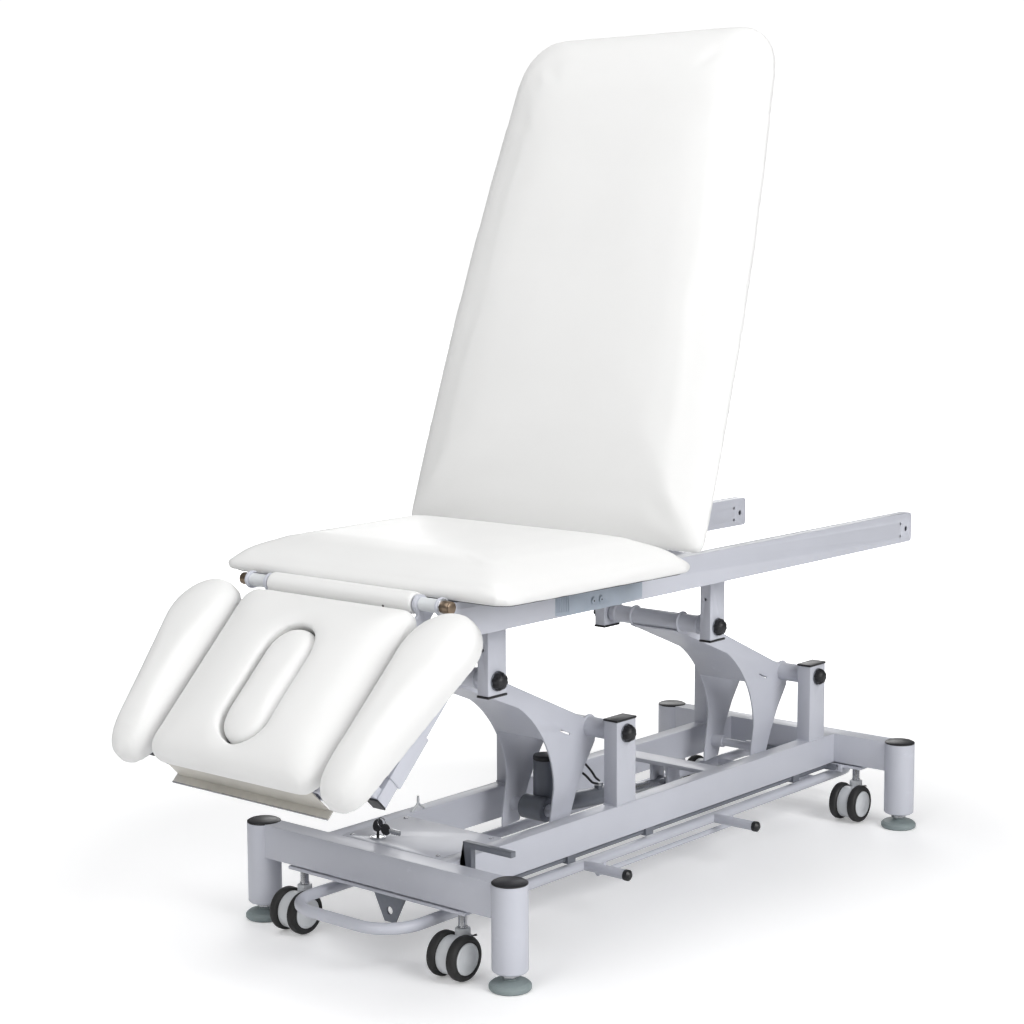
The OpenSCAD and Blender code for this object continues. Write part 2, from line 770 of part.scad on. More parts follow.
module top_rails() {
    end_y = top_front_y + top_rail_l;
    color(paint) placed() both_sides() difference() {
        union() {
            difference() {
                side_plate([top_out - top_rail_w, top_out]) rail_outline();
                block([top_out - top_rail_w + top_wall, top_out - top_wall],
                    [top_front_y - over, end_y - rail_corner], [top_low + top_wall, top_z - top_wall]);
            }
            side_plate([top_out - ear_t, top_out]) union() {
                translate([hinge_y, hinge_z]) circle(r = ear_r);
                translate([hinge_y, hinge_z - ear_r]) square([top_front_y - hinge_y + rail_corner, top_z - hinge_z + ear_r]);
            }
            side_plate([top_x - ear_t / 2, top_x + ear_t / 2]) union() {
                translate([back_pivot_y, back_pivot_z]) circle(r = back_ear_r);
                translate([back_pivot_y - back_ear_r, top_z - top_wall])
                    square([2 * back_ear_r, back_pivot_z - top_z + top_wall]);
            }
        }
        rod_x(pin_d + running, [top_out - top_rail_w, top_out + over], hinge_y, hinge_z);
        rod_x(shaft_d + running, [top_out - top_rail_w - over, top_out + over], back_pivot_y, back_pivot_z);
        for (p = rail_hole_yz)
            rod_x(rail_hole_d, [top_out - top_rail_w - over, top_out + over], end_y + p[0], top_z + p[1]);
        rod_x(rail_big_hole_d, [top_out - top_rail_w - over, top_out + over], end_y + rail_big_hole_yz[0],
            top_z + rail_big_hole_yz[1]);
    }
}

strut_lug_t = 5;
strut_lug_gap = 24;
strut_eye_d = 20;
strut_eye_w = 22;
hanger_hole_d = 5;
hanger_hole_up = 78;

module top_cross_members() {
    inner = top_out - top_rail_w;
    member_end = hanger_y + arm_pitch + cross_w / 2;
    color(paint) placed() {
        for (y = [hanger_y, hanger_y + arm_pitch])
            hollow_block([-inner, inner], [y - cross_w / 2, y + cross_w / 2], [top_low, top_low + cross_h],
                top_wall, 0);
        both_sides() side_plate([strut_lug_gap / 2, strut_lug_gap / 2 + strut_lug_t]) polygon([
            [member_end - top_wall, top_low], [member_end - top_wall, top_low + cross_h],
            [strut_foot_y - strut_pin_d, strut_foot_z + strut_pin_d],
            [strut_foot_y + strut_pin_d, strut_foot_z + strut_pin_d],
            [strut_foot_y + strut_pin_d, strut_foot_z - strut_pin_d], [strut_foot_y - strut_pin_d, top_low]]);
        rod_x(strut_pin_d, [-strut_lug_gap / 2, strut_lug_gap / 2], strut_foot_y, strut_foot_z);
    }
}

module hangers() {
    color(paint) placed() both_sides() for (y = [hanger_y, hanger_y + arm_pitch]) difference() {
        hollow_block([hanger_x - hanger_w / 2, hanger_x + hanger_w / 2],
            [y - hanger_depth / 2, y + hanger_depth / 2], [hanger_low, top_low], tube_wall, 2);
        rod_x(axle_d + running, [hanger_x - hanger_w, hanger_x + hanger_w], y, hanger_pivot_z);
        rod_y(hanger_hole_d, hanger_x, [y - hanger_depth, y], hanger_low + hanger_hole_up);
    }
}

module top_end_caps() {
    color(black) placed() both_sides() for (y = [hanger_y, hanger_y + arm_pitch]) {
        translate([0, 0, -cap_h]) end_cap([hanger_x - hanger_w / 2, hanger_x + hanger_w / 2],
            [y - hanger_depth / 2, y + hanger_depth / 2], hanger_low);
        block([hanger_x - hanger_w / 2 + tube_wall + plug_gap, hanger_x + hanger_w / 2 - tube_wall - plug_gap],
            [y - hanger_depth / 2 + tube_wall + plug_gap, y + hanger_depth / 2 - tube_wall - plug_gap],
            [hanger_low, hanger_low + cap_h]);
    }
}

// Hand control on the near rail
control_y = [196, 436];
control_flat_y = [222, 356];
control_t = 13;
control_z = [4, 41];
button_d = 11;
button_gap = 0.4;
button_y = [282, 303];
button_up_z = 20;
button_depth = 8;
button_proud = 2;

module hand_control() {
    color(paint) placed() difference() {
        translate([0, 0, top_low + control_z[0]]) linear_extrude(height = control_z[1]) polygon([
            [top_out, control_y[0]], [top_out + control_t, control_flat_y[0]],
            [top_out + control_t, control_flat_y[1]], [top_out, control_y[1]]]);
        for (y = button_y)
            rod_x(button_d + button_gap, [top_out + control_t - button_depth, top_out + control_t + over], y,
                top_low + button_up_z);
    }
}

module button(y) {
    color(dark_steel) placed() rod_x(button_d,
        [top_out + control_t - button_depth + button_proud, top_out + control_t + button_proud],
        y, top_low + button_up_z);
}

module button_up() { button(button_y[0]); }
module button_down() { button(button_y[1]); }

// Seat
board_inset = 12;
seat_draw = 8;

module in_seat() {
    placed() translate([0, seat_y, seat_z]) children();
}

module seat_board_outline() {
    polygon([for (p = pad_outline(seat_w - 2 * board_inset, seat_rear_w - 2 * board_inset,
        seat_l - 2 * board_inset, seat_corner, seat_rear_corner)) p + [0, board_inset]]);
}

module seat_board() {
    color(plywood) in_seat() linear_extrude(height = board_h) seat_board_outline();
}

module seat_cushion() {
    color(vinyl) in_seat() wrapped(0) {
        pad(pad_outline(seat_w, seat_rear_w, seat_l, seat_corner, seat_rear_corner), seat_w, seat_l, 0, edge_h,
            seat_crown, seat_draw);
        seat_board_outline();
    }
}

// Hinge between the top frame and the front section
bolt_head_d = 20;
bolt_head_h = 18;
bush_d = 22;
section_plate_t = 8;

module hinge_bolts() {
    color("peru") placed() both_sides() {
        rod_x(pin_d, [section_tube_x - section_tube, top_out], hinge_y, hinge_z);
        translate([top_out, hinge_y, hinge_z]) rotate([0, right_angle, 0]) cylinder(d = bolt_head_d,
            h = bolt_head_h);
    }
}

module hinge_bushes() {
    color(white_plastic) placed() both_sides() difference() {
        rod_x(bush_d, [section_tube_x + section_plate_t / 2 + plug_gap, top_out - ear_t - plug_gap], hinge_y,
            hinge_z);
        rod_x(pin_d + running, [section_tube_x, top_out], hinge_y, hinge_z);
    }
}

// Back
module in_back() {
    placed() translate([0, back_pivot_y, back_pivot_z]) rotate([back_angle, 0, 0]) children();
}

back_frame_short = 140;
back_cross_gap = 48;
back_frame_end = back_l - back_frame_short;
back_cross_ys = [strut_anchor_y - back_cross_gap - back_tube / 2, back_frame_end - back_tube];

module back_frame() {
    color(paint) in_back() {
        rod_x(shaft_d, [-top_out, top_out], 0, 0);
        both_sides() {
            hollow_block([back_tube_x - back_tube / 2, back_tube_x + back_tube / 2], [back_gap + 8, back_frame_end],
                [back_low - back_tube, back_low], top_wall, 1);
            side_plate([back_tube_x - ear_t / 2, back_tube_x + ear_t / 2]) polygon([[-shaft_d / 2, 0],
                [-shaft_d / 2 + 2, shaft_d / 2], [back_gap - 5, shaft_d / 2 - 2], [back_gap, back_low],
                [3 * back_gap, back_low - 1], [3 * back_gap, back_low - back_tube], [back_gap, back_low - back_tube]]);
        }
        for (y = back_cross_ys)
            hollow_block([-back_tube_x + back_tube / 2, back_tube_x - back_tube / 2], [y, y + back_tube],
                [back_low - back_tube, back_low], top_wall, 0);
        both_sides() side_plate([strut_lug_gap / 2, strut_lug_gap / 2 + strut_lug_t]) polygon([
            [back_cross_ys[0] + back_tube / 2, back_low - over],
            [back_cross_ys[0] + back_tube / 2, back_low - back_tube],
            [strut_anchor_y - strut_pin_d, strut_anchor_z - strut_pin_d],
            [strut_anchor_y + strut_pin_d, strut_anchor_z - strut_pin_d],
            [strut_anchor_y + strut_pin_d, back_low - over]]);
    }
}

module back_board_outline() {
    polygon([for (p = bowed(pad_outline(back_w - 2 * board_inset, back_end_w - 2 * board_inset,
        back_l - 2 * board_inset, pad_corner, back_corner), back_l, back_bow)) p + [0, board_inset]]);
}

module back_board() {
    color(plywood) in_back() translate([0, back_gap, back_low]) linear_extrude(height = board_h)
        back_board_outline();
}

module back_cushion() {
    color(vinyl) in_back() translate([0, back_gap, back_low]) wrapped(0) {
        pad(bowed(pad_outline(back_w, back_end_w, back_l, pad_corner, back_corner), back_l, back_bow), back_end_w,
            back_l, 0, edge_h, back_crown, seat_draw);
        back_board_outline();
    }
}

// Gas spring from the top frame's lug to the back frame's lug
function turned(p, a) = [p[0] * cos(a) - p[1] * sin(a), p[0] * sin(a) + p[1] * cos(a)];
strut_top = [back_pivot_y, back_pivot_z] + turned([strut_anchor_y, strut_anchor_z], back_angle);
strut_run = [strut_foot_y, strut_foot_z] - strut_top;
strut_length = norm(strut_run);
strut_angle = atan2(-strut_run[1], -strut_run[0]);

module in_strut() {
    placed() translate([0, strut_foot_y, strut_foot_z]) rotate([strut_angle, 0, 0]) children();
}

module back_strut_tube() {
    color(dark_steel) in_strut() difference() {
        union() {
            rod_y(strut_d, 0, [strut_eye_d, strut_tube_l], 0);
            rod_x(strut_eye_d, [-strut_eye_w / 2, strut_eye_w / 2], 0, 0);
            rod_y(strut_rod_d, 0, [strut_eye_d / 2 - over, strut_eye_d + over], 0);
        }
        rod_y(strut_rod_d + running, 0, [strut_eye_d + strut_d, strut_tube_l + over], 0);
        rod_x(strut_pin_d + running, [-strut_eye_w, strut_eye_w], 0, 0);
    }
}

module back_strut_rod() {
    color(dark_steel) in_strut() {
        rod_y(strut_rod_d, 0, [strut_length - strut_rod_in, strut_length], 0);
        rod_x(strut_eye_d - 4, [-strut_eye_w / 2, strut_eye_w / 2], strut_length, 0);
    }
}

// Front section
module in_front() {
    placed() translate([0, hinge_y, hinge_z]) rotate([front_drop, 0, 0]) children();
}

tray_s = [front_end - 14, front_end + 2];
tray_half = 171;
tray_lip_half = 178;
tray_low = -60;
tray_t = 2;
section_end = tray_s[0];
section_cross_s = [62, 280];
stub_t = 6;
plug_ledge = 8;

module front_frame() {
    tube_high = pad_low;
    tube_low = pad_low - section_tube;
    color(paint) in_front() {
        difference() {
            rod_x(shaft_d + 6, [-section_tube_x, section_tube_x], 0, 0);
            rod_x(pin_d + running, [-top_out, top_out], 0, 0);
        }
        both_sides() {
            difference() {
                side_plate([section_tube_x - section_plate_t / 2, section_tube_x + section_plate_t / 2]) union() {
                    circle(r = ear_r);
                    polygon([[-ear_r, 0], [ear_r, 0], [ear_r - 4, tube_low], [-2 * section_tube, tube_low],
                        [-2 * section_tube, tube_high], [-ear_r - 2, tube_high]]);
                }
                rod_x(pin_d + running, [0, top_out], 0, 0);
            }
            hollow_block([section_tube_x - section_tube / 2, section_tube_x + section_tube / 2],
                [-section_end, -2 * section_tube], [tube_low, tube_high], top_wall, 1);
            // Sleeve of the armrest's post and the stub that carries it
            translate([armrest_post_x, 0, armrest_post_n]) hollow_block([-sleeve_out / 2, sleeve_out / 2],
                [-sleeve_s[1], -sleeve_s[0]], [-sleeve_out / 2, sleeve_out / 2],
                (sleeve_out - section_tube) / 2 - slide_gap, 1);
            block([section_tube_x - section_tube / 2, armrest_post_x - sleeve_out / 2 + over],
                [-sleeve_s[1], -sleeve_s[0]], [tube_low - stub_t, tube_low]);
        }
        for (s = section_cross_s)
            hollow_block([-section_tube_x + section_tube / 2, section_tube_x - section_tube / 2],
                [-s - section_tube, -s], [tube_low, tube_high], top_wall, 0);
    }
}

module hole_outline(grow) {
    r = hole_w / 2 + grow;
    for (k = [-1, 1]) translate([0, k * (hole_l - hole_w) / 2]) circle(r = r);
    square([2 * r, hole_l - hole_w], center = true);
}

module front_board_outline() {
    polygon([for (p = pad_outline(front_w - 2 * board_inset, front_end_w - 2 * board_inset,
        front_l - 2 * board_inset, pad_corner, 2 * pad_corner)) p + [0, board_inset]]);
}

module front_board() {
    color(plywood) in_front() difference() {
        translate([0, -pad_start, pad_low]) mirror([0, 1, 0]) linear_extrude(height = board_h) front_board_outline();
        translate([0, -hole_s, pad_low - over]) linear_extrude(height = board_h + 2 * over) hole_outline(-plug_ledge);
    }
}

front_draw = 6;

module front_cushion() {
    color(vinyl) in_front() difference() {
        translate([0, -pad_start, pad_low]) mirror([0, 1, 0]) wrapped(0) {
            pad(pad_outline(front_w, front_end_w, front_l, 2 * pad_corner, 2 * pad_corner + seat_draw), front_end_w,
                front_l, 0, edge_h + front_draw, front_crown, front_draw);
            front_board_outline();
        }
        translate([0, -hole_s, pad_low + board_h - over]) linear_extrude(height = 3 * edge_h) hole_outline(0);
    }
}

roll_d = 38;

module hinge_roll() {
    roll_half = section_tube_x - section_plate_t / 2 - 1;
    color(vinyl) in_front() difference() {
        rod_x(roll_d, [-roll_half, roll_half], 0, 0);
        rod_x(shaft_d + 6 + soft_gap, [-section_tube_x, section_tube_x], 0, 0);
    }
}

plug_gap_soft = 1;
plug_edge_h = 32;
plug_crown = 10;
plug_low = pad_low + board_h + slide_gap;

module face_plug() {
    w = hole_w - 2 * plug_gap_soft;
    l = hole_l - 2 * plug_gap_soft;
    color(vinyl) in_front() translate([0, -hole_s - l / 2, plug_low])
        pad(pad_outline(w, w, l, w / 2 - 1, w / 2 - 1), w, l, 0, plug_edge_h, plug_crown, front_draw);
}

// Metal rail across the free end: a plate under the pad's end with a lip that turns outwards
module tray_rail() {
    color("rosybrown") in_front() {
        block([-tray_half, tray_half], [-tray_s[0] - tray_t, -tray_s[0]], [tray_low, pad_low]);
        block([-tray_lip_half, tray_lip_half], [-tray_s[1], -tray_s[0]], [tray_low, tray_low + tray_t]);
    }
}

rest_board_t = 8;
rest_board_in = [22, 16];
rest_board_start = 25;
rest_spacer = 18;
rest_edge_h = 31;
rest_draw = 4;

// One armrest on the +X side: a board and a post that slides in the front frame's sleeve
module armrest_bracket() {
    post_high = armrest_post_n + section_tube / 2;
    board_low = arm_pad_low - rest_board_t;
    translate([armrest_post_x, 0, armrest_post_n]) hollow_block([-section_tube / 2, section_tube / 2],
        [-armrest_post_end, -armrest_post_start], [-section_tube / 2, section_tube / 2], top_wall, 1);
    for (y = [[-armrest_post_start - rest_spacer, -armrest_post_start], [-armrest_post_end, rest_spacer - armrest_post_end]])
        block([armrest_post_x - section_tube / 2, armrest_post_x + section_tube / 2 - rest_draw], y,
            [post_high, board_low]);
    translate([arm_pad_x, -arm_pad_s, 0]) rotate([0, 0, -arm_pad_turn])
        translate([0, 0, board_low]) mirror([0, 1, 0]) linear_extrude(height = rest_board_t)
            polygon([for (p = pad_outline(armrest_w - 2 * rest_board_in[0], armrest_end_w - 2 * rest_board_in[1],
                arm_pad_l - 2 * rest_board_start, pad_corner, pad_corner)) p + [0, rest_board_start]]);
}

module armrest_pad() {
    translate([arm_pad_x, -arm_pad_s, arm_pad_low]) rotate([0, 0, -arm_pad_turn]) mirror([0, 1, 0])
        pad(pad_outline(armrest_w, armrest_end_w, arm_pad_l, armrest_w / 2 - 1, armrest_end_w / 2 - 1),
            armrest_end_w, arm_pad_l, 0, rest_edge_h, armrest_h - rest_edge_h, rest_draw);
}

module armrest_right_bracket() { color(paint) in_front() armrest_bracket(); }
module armrest_left_bracket() { color(paint) in_front() mirror([1, 0, 0]) armrest_bracket(); }
module armrest_right_pad() { color(vinyl) in_front() armrest_pad(); }
module armrest_left_pad() { color(vinyl) in_front() mirror([1, 0, 0]) armrest_pad(); }

// Castors
lever_grip_x = 254;
lever_high = 210;
lever_w = 12;
lever_grip_h = 10;
lever_post = [149, 167];
crank_eye_h = 12;
crank_pin_l = 5.5;
lug_t = 4;
lug_x = [138, 166];
lug_z = [100, 116];

module castor_lever() {
    pin_x = lever_x + crank_arm;
    color(dark_steel) placed() {
        rod_y(lever_rod_d, lever_x, shaft_y, lever_z);
        translate([0, lever_y[1], 0]) rotate([right_angle, 0, 0]) linear_extrude(height = lever_y[1] - lever_y[0])
            polygon([[lever_x, lever_z - lever_w / 2], [lever_post[1], lever_z - lever_w / 2],
            [lever_post[1], lever_high - lever_grip_h], [lever_grip_x, lever_high - lever_grip_h],
            [lever_grip_x, lever_high], [lever_post[0], lever_high],
            [lever_post[0], lever_z + lever_w / 2], [lever_x, lever_z + lever_w / 2]]);
        for (y = [shaft_y[0], shaft_y[1] - lug_t]) {
            block([lever_x, pin_x], [y, y + lug_t], [lever_z - crank_eye_h / 2, lever_z + crank_eye_h / 2]);
            rod_y(crank_eye_h, pin_x, [y, y + lug_t], lever_z);
        }
        rod_y(crank_pin_d, pin_x, [shaft_y[0] - crank_pin_l, shaft_y[0]], lever_z);
        rod_y(crank_pin_d, pin_x, [shaft_y[1], shaft_y[1] + crank_pin_l], lever_z);
    }
}

slot_play = 1.2;

module castor_bar() {
    half_l = castor_x + 21;
    lug_y = shaft_y[0] - lug_t - 2;
    difference() {
        union() {
            block([-half_l, half_l], [-castor_bar_half, castor_bar_half], [castor_bar_low, castor_bar_top]);
            block(lug_x, [castor_bar_half - over, lug_y], [castor_bar_low, castor_bar_top]);
            block(lug_x, [lug_y, lug_y + lug_t], lug_z);
        }
        for (x = [-castor_x, castor_x])
            rod_z(stem_d + 2 + running, x, 0, [castor_bar_low - over, castor_bar_top + over]);
        block([lever_x + crank_arm - crank_pin_d, lever_x + crank_arm + crank_pin_d * 3 / 4],
            [lug_y - over, lug_y + lug_t + over],
            [lever_z - (crank_pin_d + slot_play) / 2, lever_z + (crank_pin_d + slot_play) / 2]);
    }
    for (x = [-guide_x, guide_x])
        rod_z(guide_d, x, 0, [castor_bar_top - over, frame_low + tube_h / 2]);
}

module castor_bar_front() {
    color(dark_steel) placed() castor_bar();
}

module castor_bar_rear() {
    color(dark_steel) placed() translate([0, leg_spacing_y, 0]) mirror([0, 1, 0]) castor_bar();
}

collar_d = 24;
collar_z = [66, 81];
housing_r = 32;
wheel_axle_d = 8;

// Fork of one castor, from its swivel axis: stem, collar and the hood between the wheels
module castor_fork() {
    hood_half = wheel_in - soft_gap;
    color(white_plastic) {
        rod_z(stem_d + 2, 0, 0, [collar_z[1] - over, castor_bar_top + over]);
        rod_z(collar_d, 0, 0, collar_z);
        difference() {
            side_plate([-hood_half, hood_half]) union() {
                translate([-castor_trail, wheel_axle_z]) circle(r = housing_r);
                polygon([[-castor_trail, wheel_axle_z], [hood_half, wheel_axle_z + hood_half],
                    [hood_half, collar_z[0] + hub_dish], [-castor_trail, collar_z[0] + hub_dish]]);
            }
            rod_x(wheel_axle_d + running, [-collar_d, collar_d], -castor_trail, wheel_axle_z);
        }
    }
}

wheel_round = 5;
hub_dish = 2;

module wheel_half() {
    rotate([0, right_angle, 0]) rotate_extrude() polygon([[0, 0], [wheel_d / 2 - wheel_round, 0],
        [wheel_d / 2 - wheel_round / 3, wheel_round / 3], [wheel_d / 2, wheel_round],
        [wheel_d / 2, wheel_w - wheel_round], [wheel_d / 2 - wheel_round / 3, wheel_w - wheel_round / 3],
        [wheel_d / 2 - wheel_round, wheel_w], [wheel_d / 2 - 2 * wheel_round, wheel_w],
        [wheel_d / 2 - 2 * wheel_round, wheel_w - hub_dish], [0, wheel_w - hub_dish]]);
}

module castor_wheels() {
    color(black) translate([0, -castor_trail, wheel_axle_z]) {
        both_sides() translate([wheel_in, 0, 0]) wheel_half();
        rod_x(wheel_axle_d, [-wheel_in - over, wheel_in + over], 0, 0);
    }
}

module at_castor(x, y) {
    placed() translate([x, y, 0]) children();
}

castor_ys = [0, leg_spacing_y];

module castor_front_left_fork() { at_castor(-castor_x, castor_ys[0]) castor_fork(); }
module castor_front_left_wheels() { at_castor(-castor_x, castor_ys[0]) castor_wheels(); }
module castor_front_right_fork() { at_castor(castor_x, castor_ys[0]) castor_fork(); }
module castor_front_right_wheels() { at_castor(castor_x, castor_ys[0]) castor_wheels(); }
module castor_rear_left_fork() { at_castor(-castor_x, castor_ys[1]) castor_fork(); }
module castor_rear_left_wheels() { at_castor(-castor_x, castor_ys[1]) castor_wheels(); }
module castor_rear_right_fork() { at_castor(castor_x, castor_ys[1]) castor_fork(); }
module castor_rear_right_wheels() { at_castor(castor_x, castor_ys[1]) castor_wheels(); }

// Foot bar: a closed loop of tube with round corners, two pegs and a brace rod on the near side
bar_front = -bar_over;
bar_rear = leg_spacing_y + bar_over;
brace_d = 10;
brace_drop = 26;
cross_tube_d = 16;
cross_tube_in = 60;

module bar_corner_piece(x, y, from) {
    translate([x, y, bar_z]) rotate([0, 0, from]) rotate_extrude(angle = right_angle)
        translate([bar_corner, 0]) circle(d = bar_d);
}

module foot_bar() {
    near = bar_half_x - bar_corner;
    color(paint) placed() difference() {
        union() {
            for (x = [-bar_half_x, bar_half_x]) rod_y(bar_d, x, [bar_front + bar_corner, bar_rear - bar_corner], bar_z);
            for (y = [bar_front, bar_rear]) rod_x(bar_d, [-near, near], y, bar_z);
            bar_corner_piece(near, bar_front + bar_corner, -right_angle);
            bar_corner_piece(near, bar_rear - bar_corner, 0);
            bar_corner_piece(-near, bar_rear - bar_corner, right_angle);
            bar_corner_piece(-near, bar_front + bar_corner, 2 * right_angle);
            for (y = peg_ys) rod_x(peg_d, [bar_half_x, bar_half_x + peg_l], y, bar_z);
            rod_y(brace_d, bar_half_x, [peg_ys[0] + 42, peg_ys[1] + 80], bar_z - brace_drop);
            for (y = [peg_ys[0] + 60, peg_ys[1] + 62])
                rod_z(brace_d, bar_half_x, y, [bar_z - brace_drop, bar_z]);
            for (y = [cross_tube_in, leg_spacing_y - cross_tube_in]) {
                rod_x(cross_tube_d, [-bar_half_x, bar_half_x], y, bar_z);
                rod_y(cross_tube_d, 0, [y - cross_tube_d * 3 / 4, y + cross_tube_d * 3 / 4], bar_z);
            }
        }
        for (y = [cross_tube_in, leg_spacing_y - cross_tube_in])
            rod_y(bar_pin_d + running, 0, [y - cross_tube_d, y + cross_tube_d], bar_z);
    }
}

module peg_caps() {
    color(black) placed() for (y = peg_ys) {
        translate([bar_half_x + peg_l, y, bar_z]) rotate([0, right_angle, 0])
            rotate_extrude() polygon([[0, 0], [peg_d / 2 + cap_lip, 0], [peg_d / 2 + cap_lip, 2 * cap_h],
                [peg_d / 2 - cap_h, 3 * cap_h], [0, 3 * cap_h]]);
    }
}

base_rails();
crossbeams();
legs();
base_end_caps();
foot_front_left();
foot_front_right();
foot_rear_left();
foot_rear_right();
posts();
cover_plate();
control_box();
key_lock();
key();
underframe_brackets();
motor_cable();
post_axles();
front_arm();
rear_arm();
lift_motor();
lift_rod();
top_rails();
top_cross_members();
hangers();
top_end_caps();
hanger_axles();
hand_control();
button_up();
button_down();
seat_board();
seat_cushion();
hinge_bolts();
hinge_bushes();
back_frame();
back_board();
back_cushion();
back_strut_tube();
back_strut_rod();
front_frame();
front_board();
front_cushion();
hinge_roll();
face_plug();
tray_rail();
armrest_left_bracket();
armrest_left_pad();
armrest_right_bracket();
armrest_right_pad();
castor_lever();
castor_bar_front();
castor_bar_rear();
castor_front_left_fork();
castor_front_left_wheels();
castor_front_right_fork();
castor_front_right_wheels();
castor_rear_left_fork();
castor_rear_left_wheels();
castor_rear_right_fork();
castor_rear_right_wheels();
foot_bar();
peg_caps();
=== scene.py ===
"""Looks of the three-section treatment chair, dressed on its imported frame.

Everything is in metres in the frame's own axes: X across, the short front section toward -Y, Z up.
Laid out as an add-on: settings, one operator for each group of pieces, one panel, then main().
"""

import json
import math

import bpy
import numpy as np
from mathutils import Matrix, Vector


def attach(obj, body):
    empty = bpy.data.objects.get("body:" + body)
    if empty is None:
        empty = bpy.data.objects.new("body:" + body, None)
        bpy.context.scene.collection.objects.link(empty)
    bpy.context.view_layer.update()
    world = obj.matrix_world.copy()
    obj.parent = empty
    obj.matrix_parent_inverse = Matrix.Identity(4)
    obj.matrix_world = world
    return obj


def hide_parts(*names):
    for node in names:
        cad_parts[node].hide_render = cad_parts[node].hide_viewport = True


bl_info = {
    "name": "Treatment chair",
    "version": (1, 0, 0),
    "blender": (4, 5, 0),
    "location": "View3D > Sidebar > Chair",
    "description": "Dresses the frame of a three-section treatment chair",
    "category": "Object",
}

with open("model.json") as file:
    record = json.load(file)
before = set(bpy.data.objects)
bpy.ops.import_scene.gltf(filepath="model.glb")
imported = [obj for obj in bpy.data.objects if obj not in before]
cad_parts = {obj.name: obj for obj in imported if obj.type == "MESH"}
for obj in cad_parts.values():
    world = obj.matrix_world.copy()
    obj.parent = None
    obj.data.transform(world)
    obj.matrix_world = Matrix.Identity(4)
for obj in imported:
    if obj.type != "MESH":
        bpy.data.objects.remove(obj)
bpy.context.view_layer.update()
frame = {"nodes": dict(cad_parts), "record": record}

# Where the three upholstered sections sit: a point of each board's underside, and the way its pad faces
SHIFT_Y = -0.5
BACK_ANGLE = math.radians(71.6)
FRONT_ANGLE = math.radians(45)
SEAT_FLOOR = (Vector((0, 0, 0.627)), Vector((0, 0, 1)))
BACK_FLOOR = (Vector((0, 0.448 + SHIFT_Y, 0.634)), Vector((0, -math.sin(BACK_ANGLE), math.cos(BACK_ANGLE))))
FRONT_HINGE = Vector((0, -0.079 + SHIFT_Y, 0.624))
FRONT_UP = Vector((0, -math.sin(FRONT_ANGLE), math.cos(FRONT_ANGLE)))
FRONT_ALONG = Vector((0, -math.cos(FRONT_ANGLE), -math.sin(FRONT_ANGLE)))
FRONT_FLOOR = (FRONT_HINGE + FRONT_UP * -0.008, FRONT_UP)
PLUG_FLOOR = (FRONT_HINGE + FRONT_UP * 0.0043, FRONT_UP)
ROLL_FLOOR = (FRONT_HINGE - FRONT_UP * 0.1, FRONT_UP)
REST_FLOOR = (FRONT_HINGE + FRONT_UP * -0.011, FRONT_UP)

# The plug's outline along the front section, and the seam and soft dip round it
PLUG_MIDDLE = 0.206
PLUG_STRAIGHT = 0.062
PLUG_RADIUS = 0.051
PLUG_SEAM = 0.012
DIP = 0.003
DIP_REACH = 0.03
DIP_FROM = 0.02

# How far the plug's and the roll's covers swell, and where the roll's cover is held
PLUG_SWELL = 0.002
ROLL_SWELL = 0.0015
ROLL_HELD = 0.16

# Angles from which an edge counts as one: faces that merge, edges that are rounded, edges that stay sharp
FLAT = math.radians(0.4)
ROUNDED = math.radians(42)
SHARP = math.radians(38)
SMALL_SHARP = math.radians(35)
WIRE_SHARP = math.radians(50)


def colour(name, text, value):
    """A colour setting with its plain name, description and default."""
    return bpy.props.FloatVectorProperty(name=name, description=text, default=value, size=3, min=0, max=1,
                                         subtype="COLOR")


def length(name, text, value):
    """A length setting in metres."""
    return bpy.props.FloatProperty(name=name, description=text, default=value, min=0, unit="LENGTH",
                                   subtype="DISTANCE")


class ChairColours(bpy.types.PropertyGroup):
    """Colours of the chair's finishes."""

    paint: colour("Frame paint", "Light grey powder coat on the tubes", (0.61, 0.625, 0.69))
    vinyl: colour("Vinyl", "White cover of the pads", (0.835, 0.835, 0.828))
    dark_steel: colour("Dark steel", "Brackets, lever and motor", (0.23, 0.245, 0.28))
    bright_steel: colour("Bright steel", "Rods, lock and key blades", (0.50, 0.51, 0.53))
    black: colour("Black plastic", "Caps, plugs and cables", (0.012, 0.012, 0.014))
    foot: colour("Foot plastic", "Levelling feet", (0.27, 0.32, 0.325))
    white: colour("White plastic", "Castor housings and hinge bushes", (0.70, 0.72, 0.74))
    control: colour("Control plastic", "Hand control", (0.42, 0.48, 0.56))
    tyre: colour("Tyre", "Castor tyres", (0.012, 0.012, 0.012))
    cloth: colour("Dust cloth", "Underside of the boards", (0.02, 0.02, 0.022))
    bolt: colour("Bolt", "Coppery hinge bolts", (0.34, 0.26, 0.19))
    tray: colour("Tray rail", "Brown-grey rail at the free end", (0.66, 0.64, 0.59))


class ChairSizes(bpy.types.PropertyGroup):
    """Sizes that shape the looks."""

    edge: length("Edge radius", "Rounding of the frame's edges", 0.0012)
    swell: length("Swell", "How far the big pads may swell", 0.0014)
    small_swell: length("Small swell", "How far the small pads may swell", 0.0012)
    voxel: length("Cover detail", "Mesh size of the big covers before they swell", 0.010)
    small_voxel: length("Small cover detail", "Mesh size of the small covers", 0.006)


# Nodes of a material, made and linked in few words

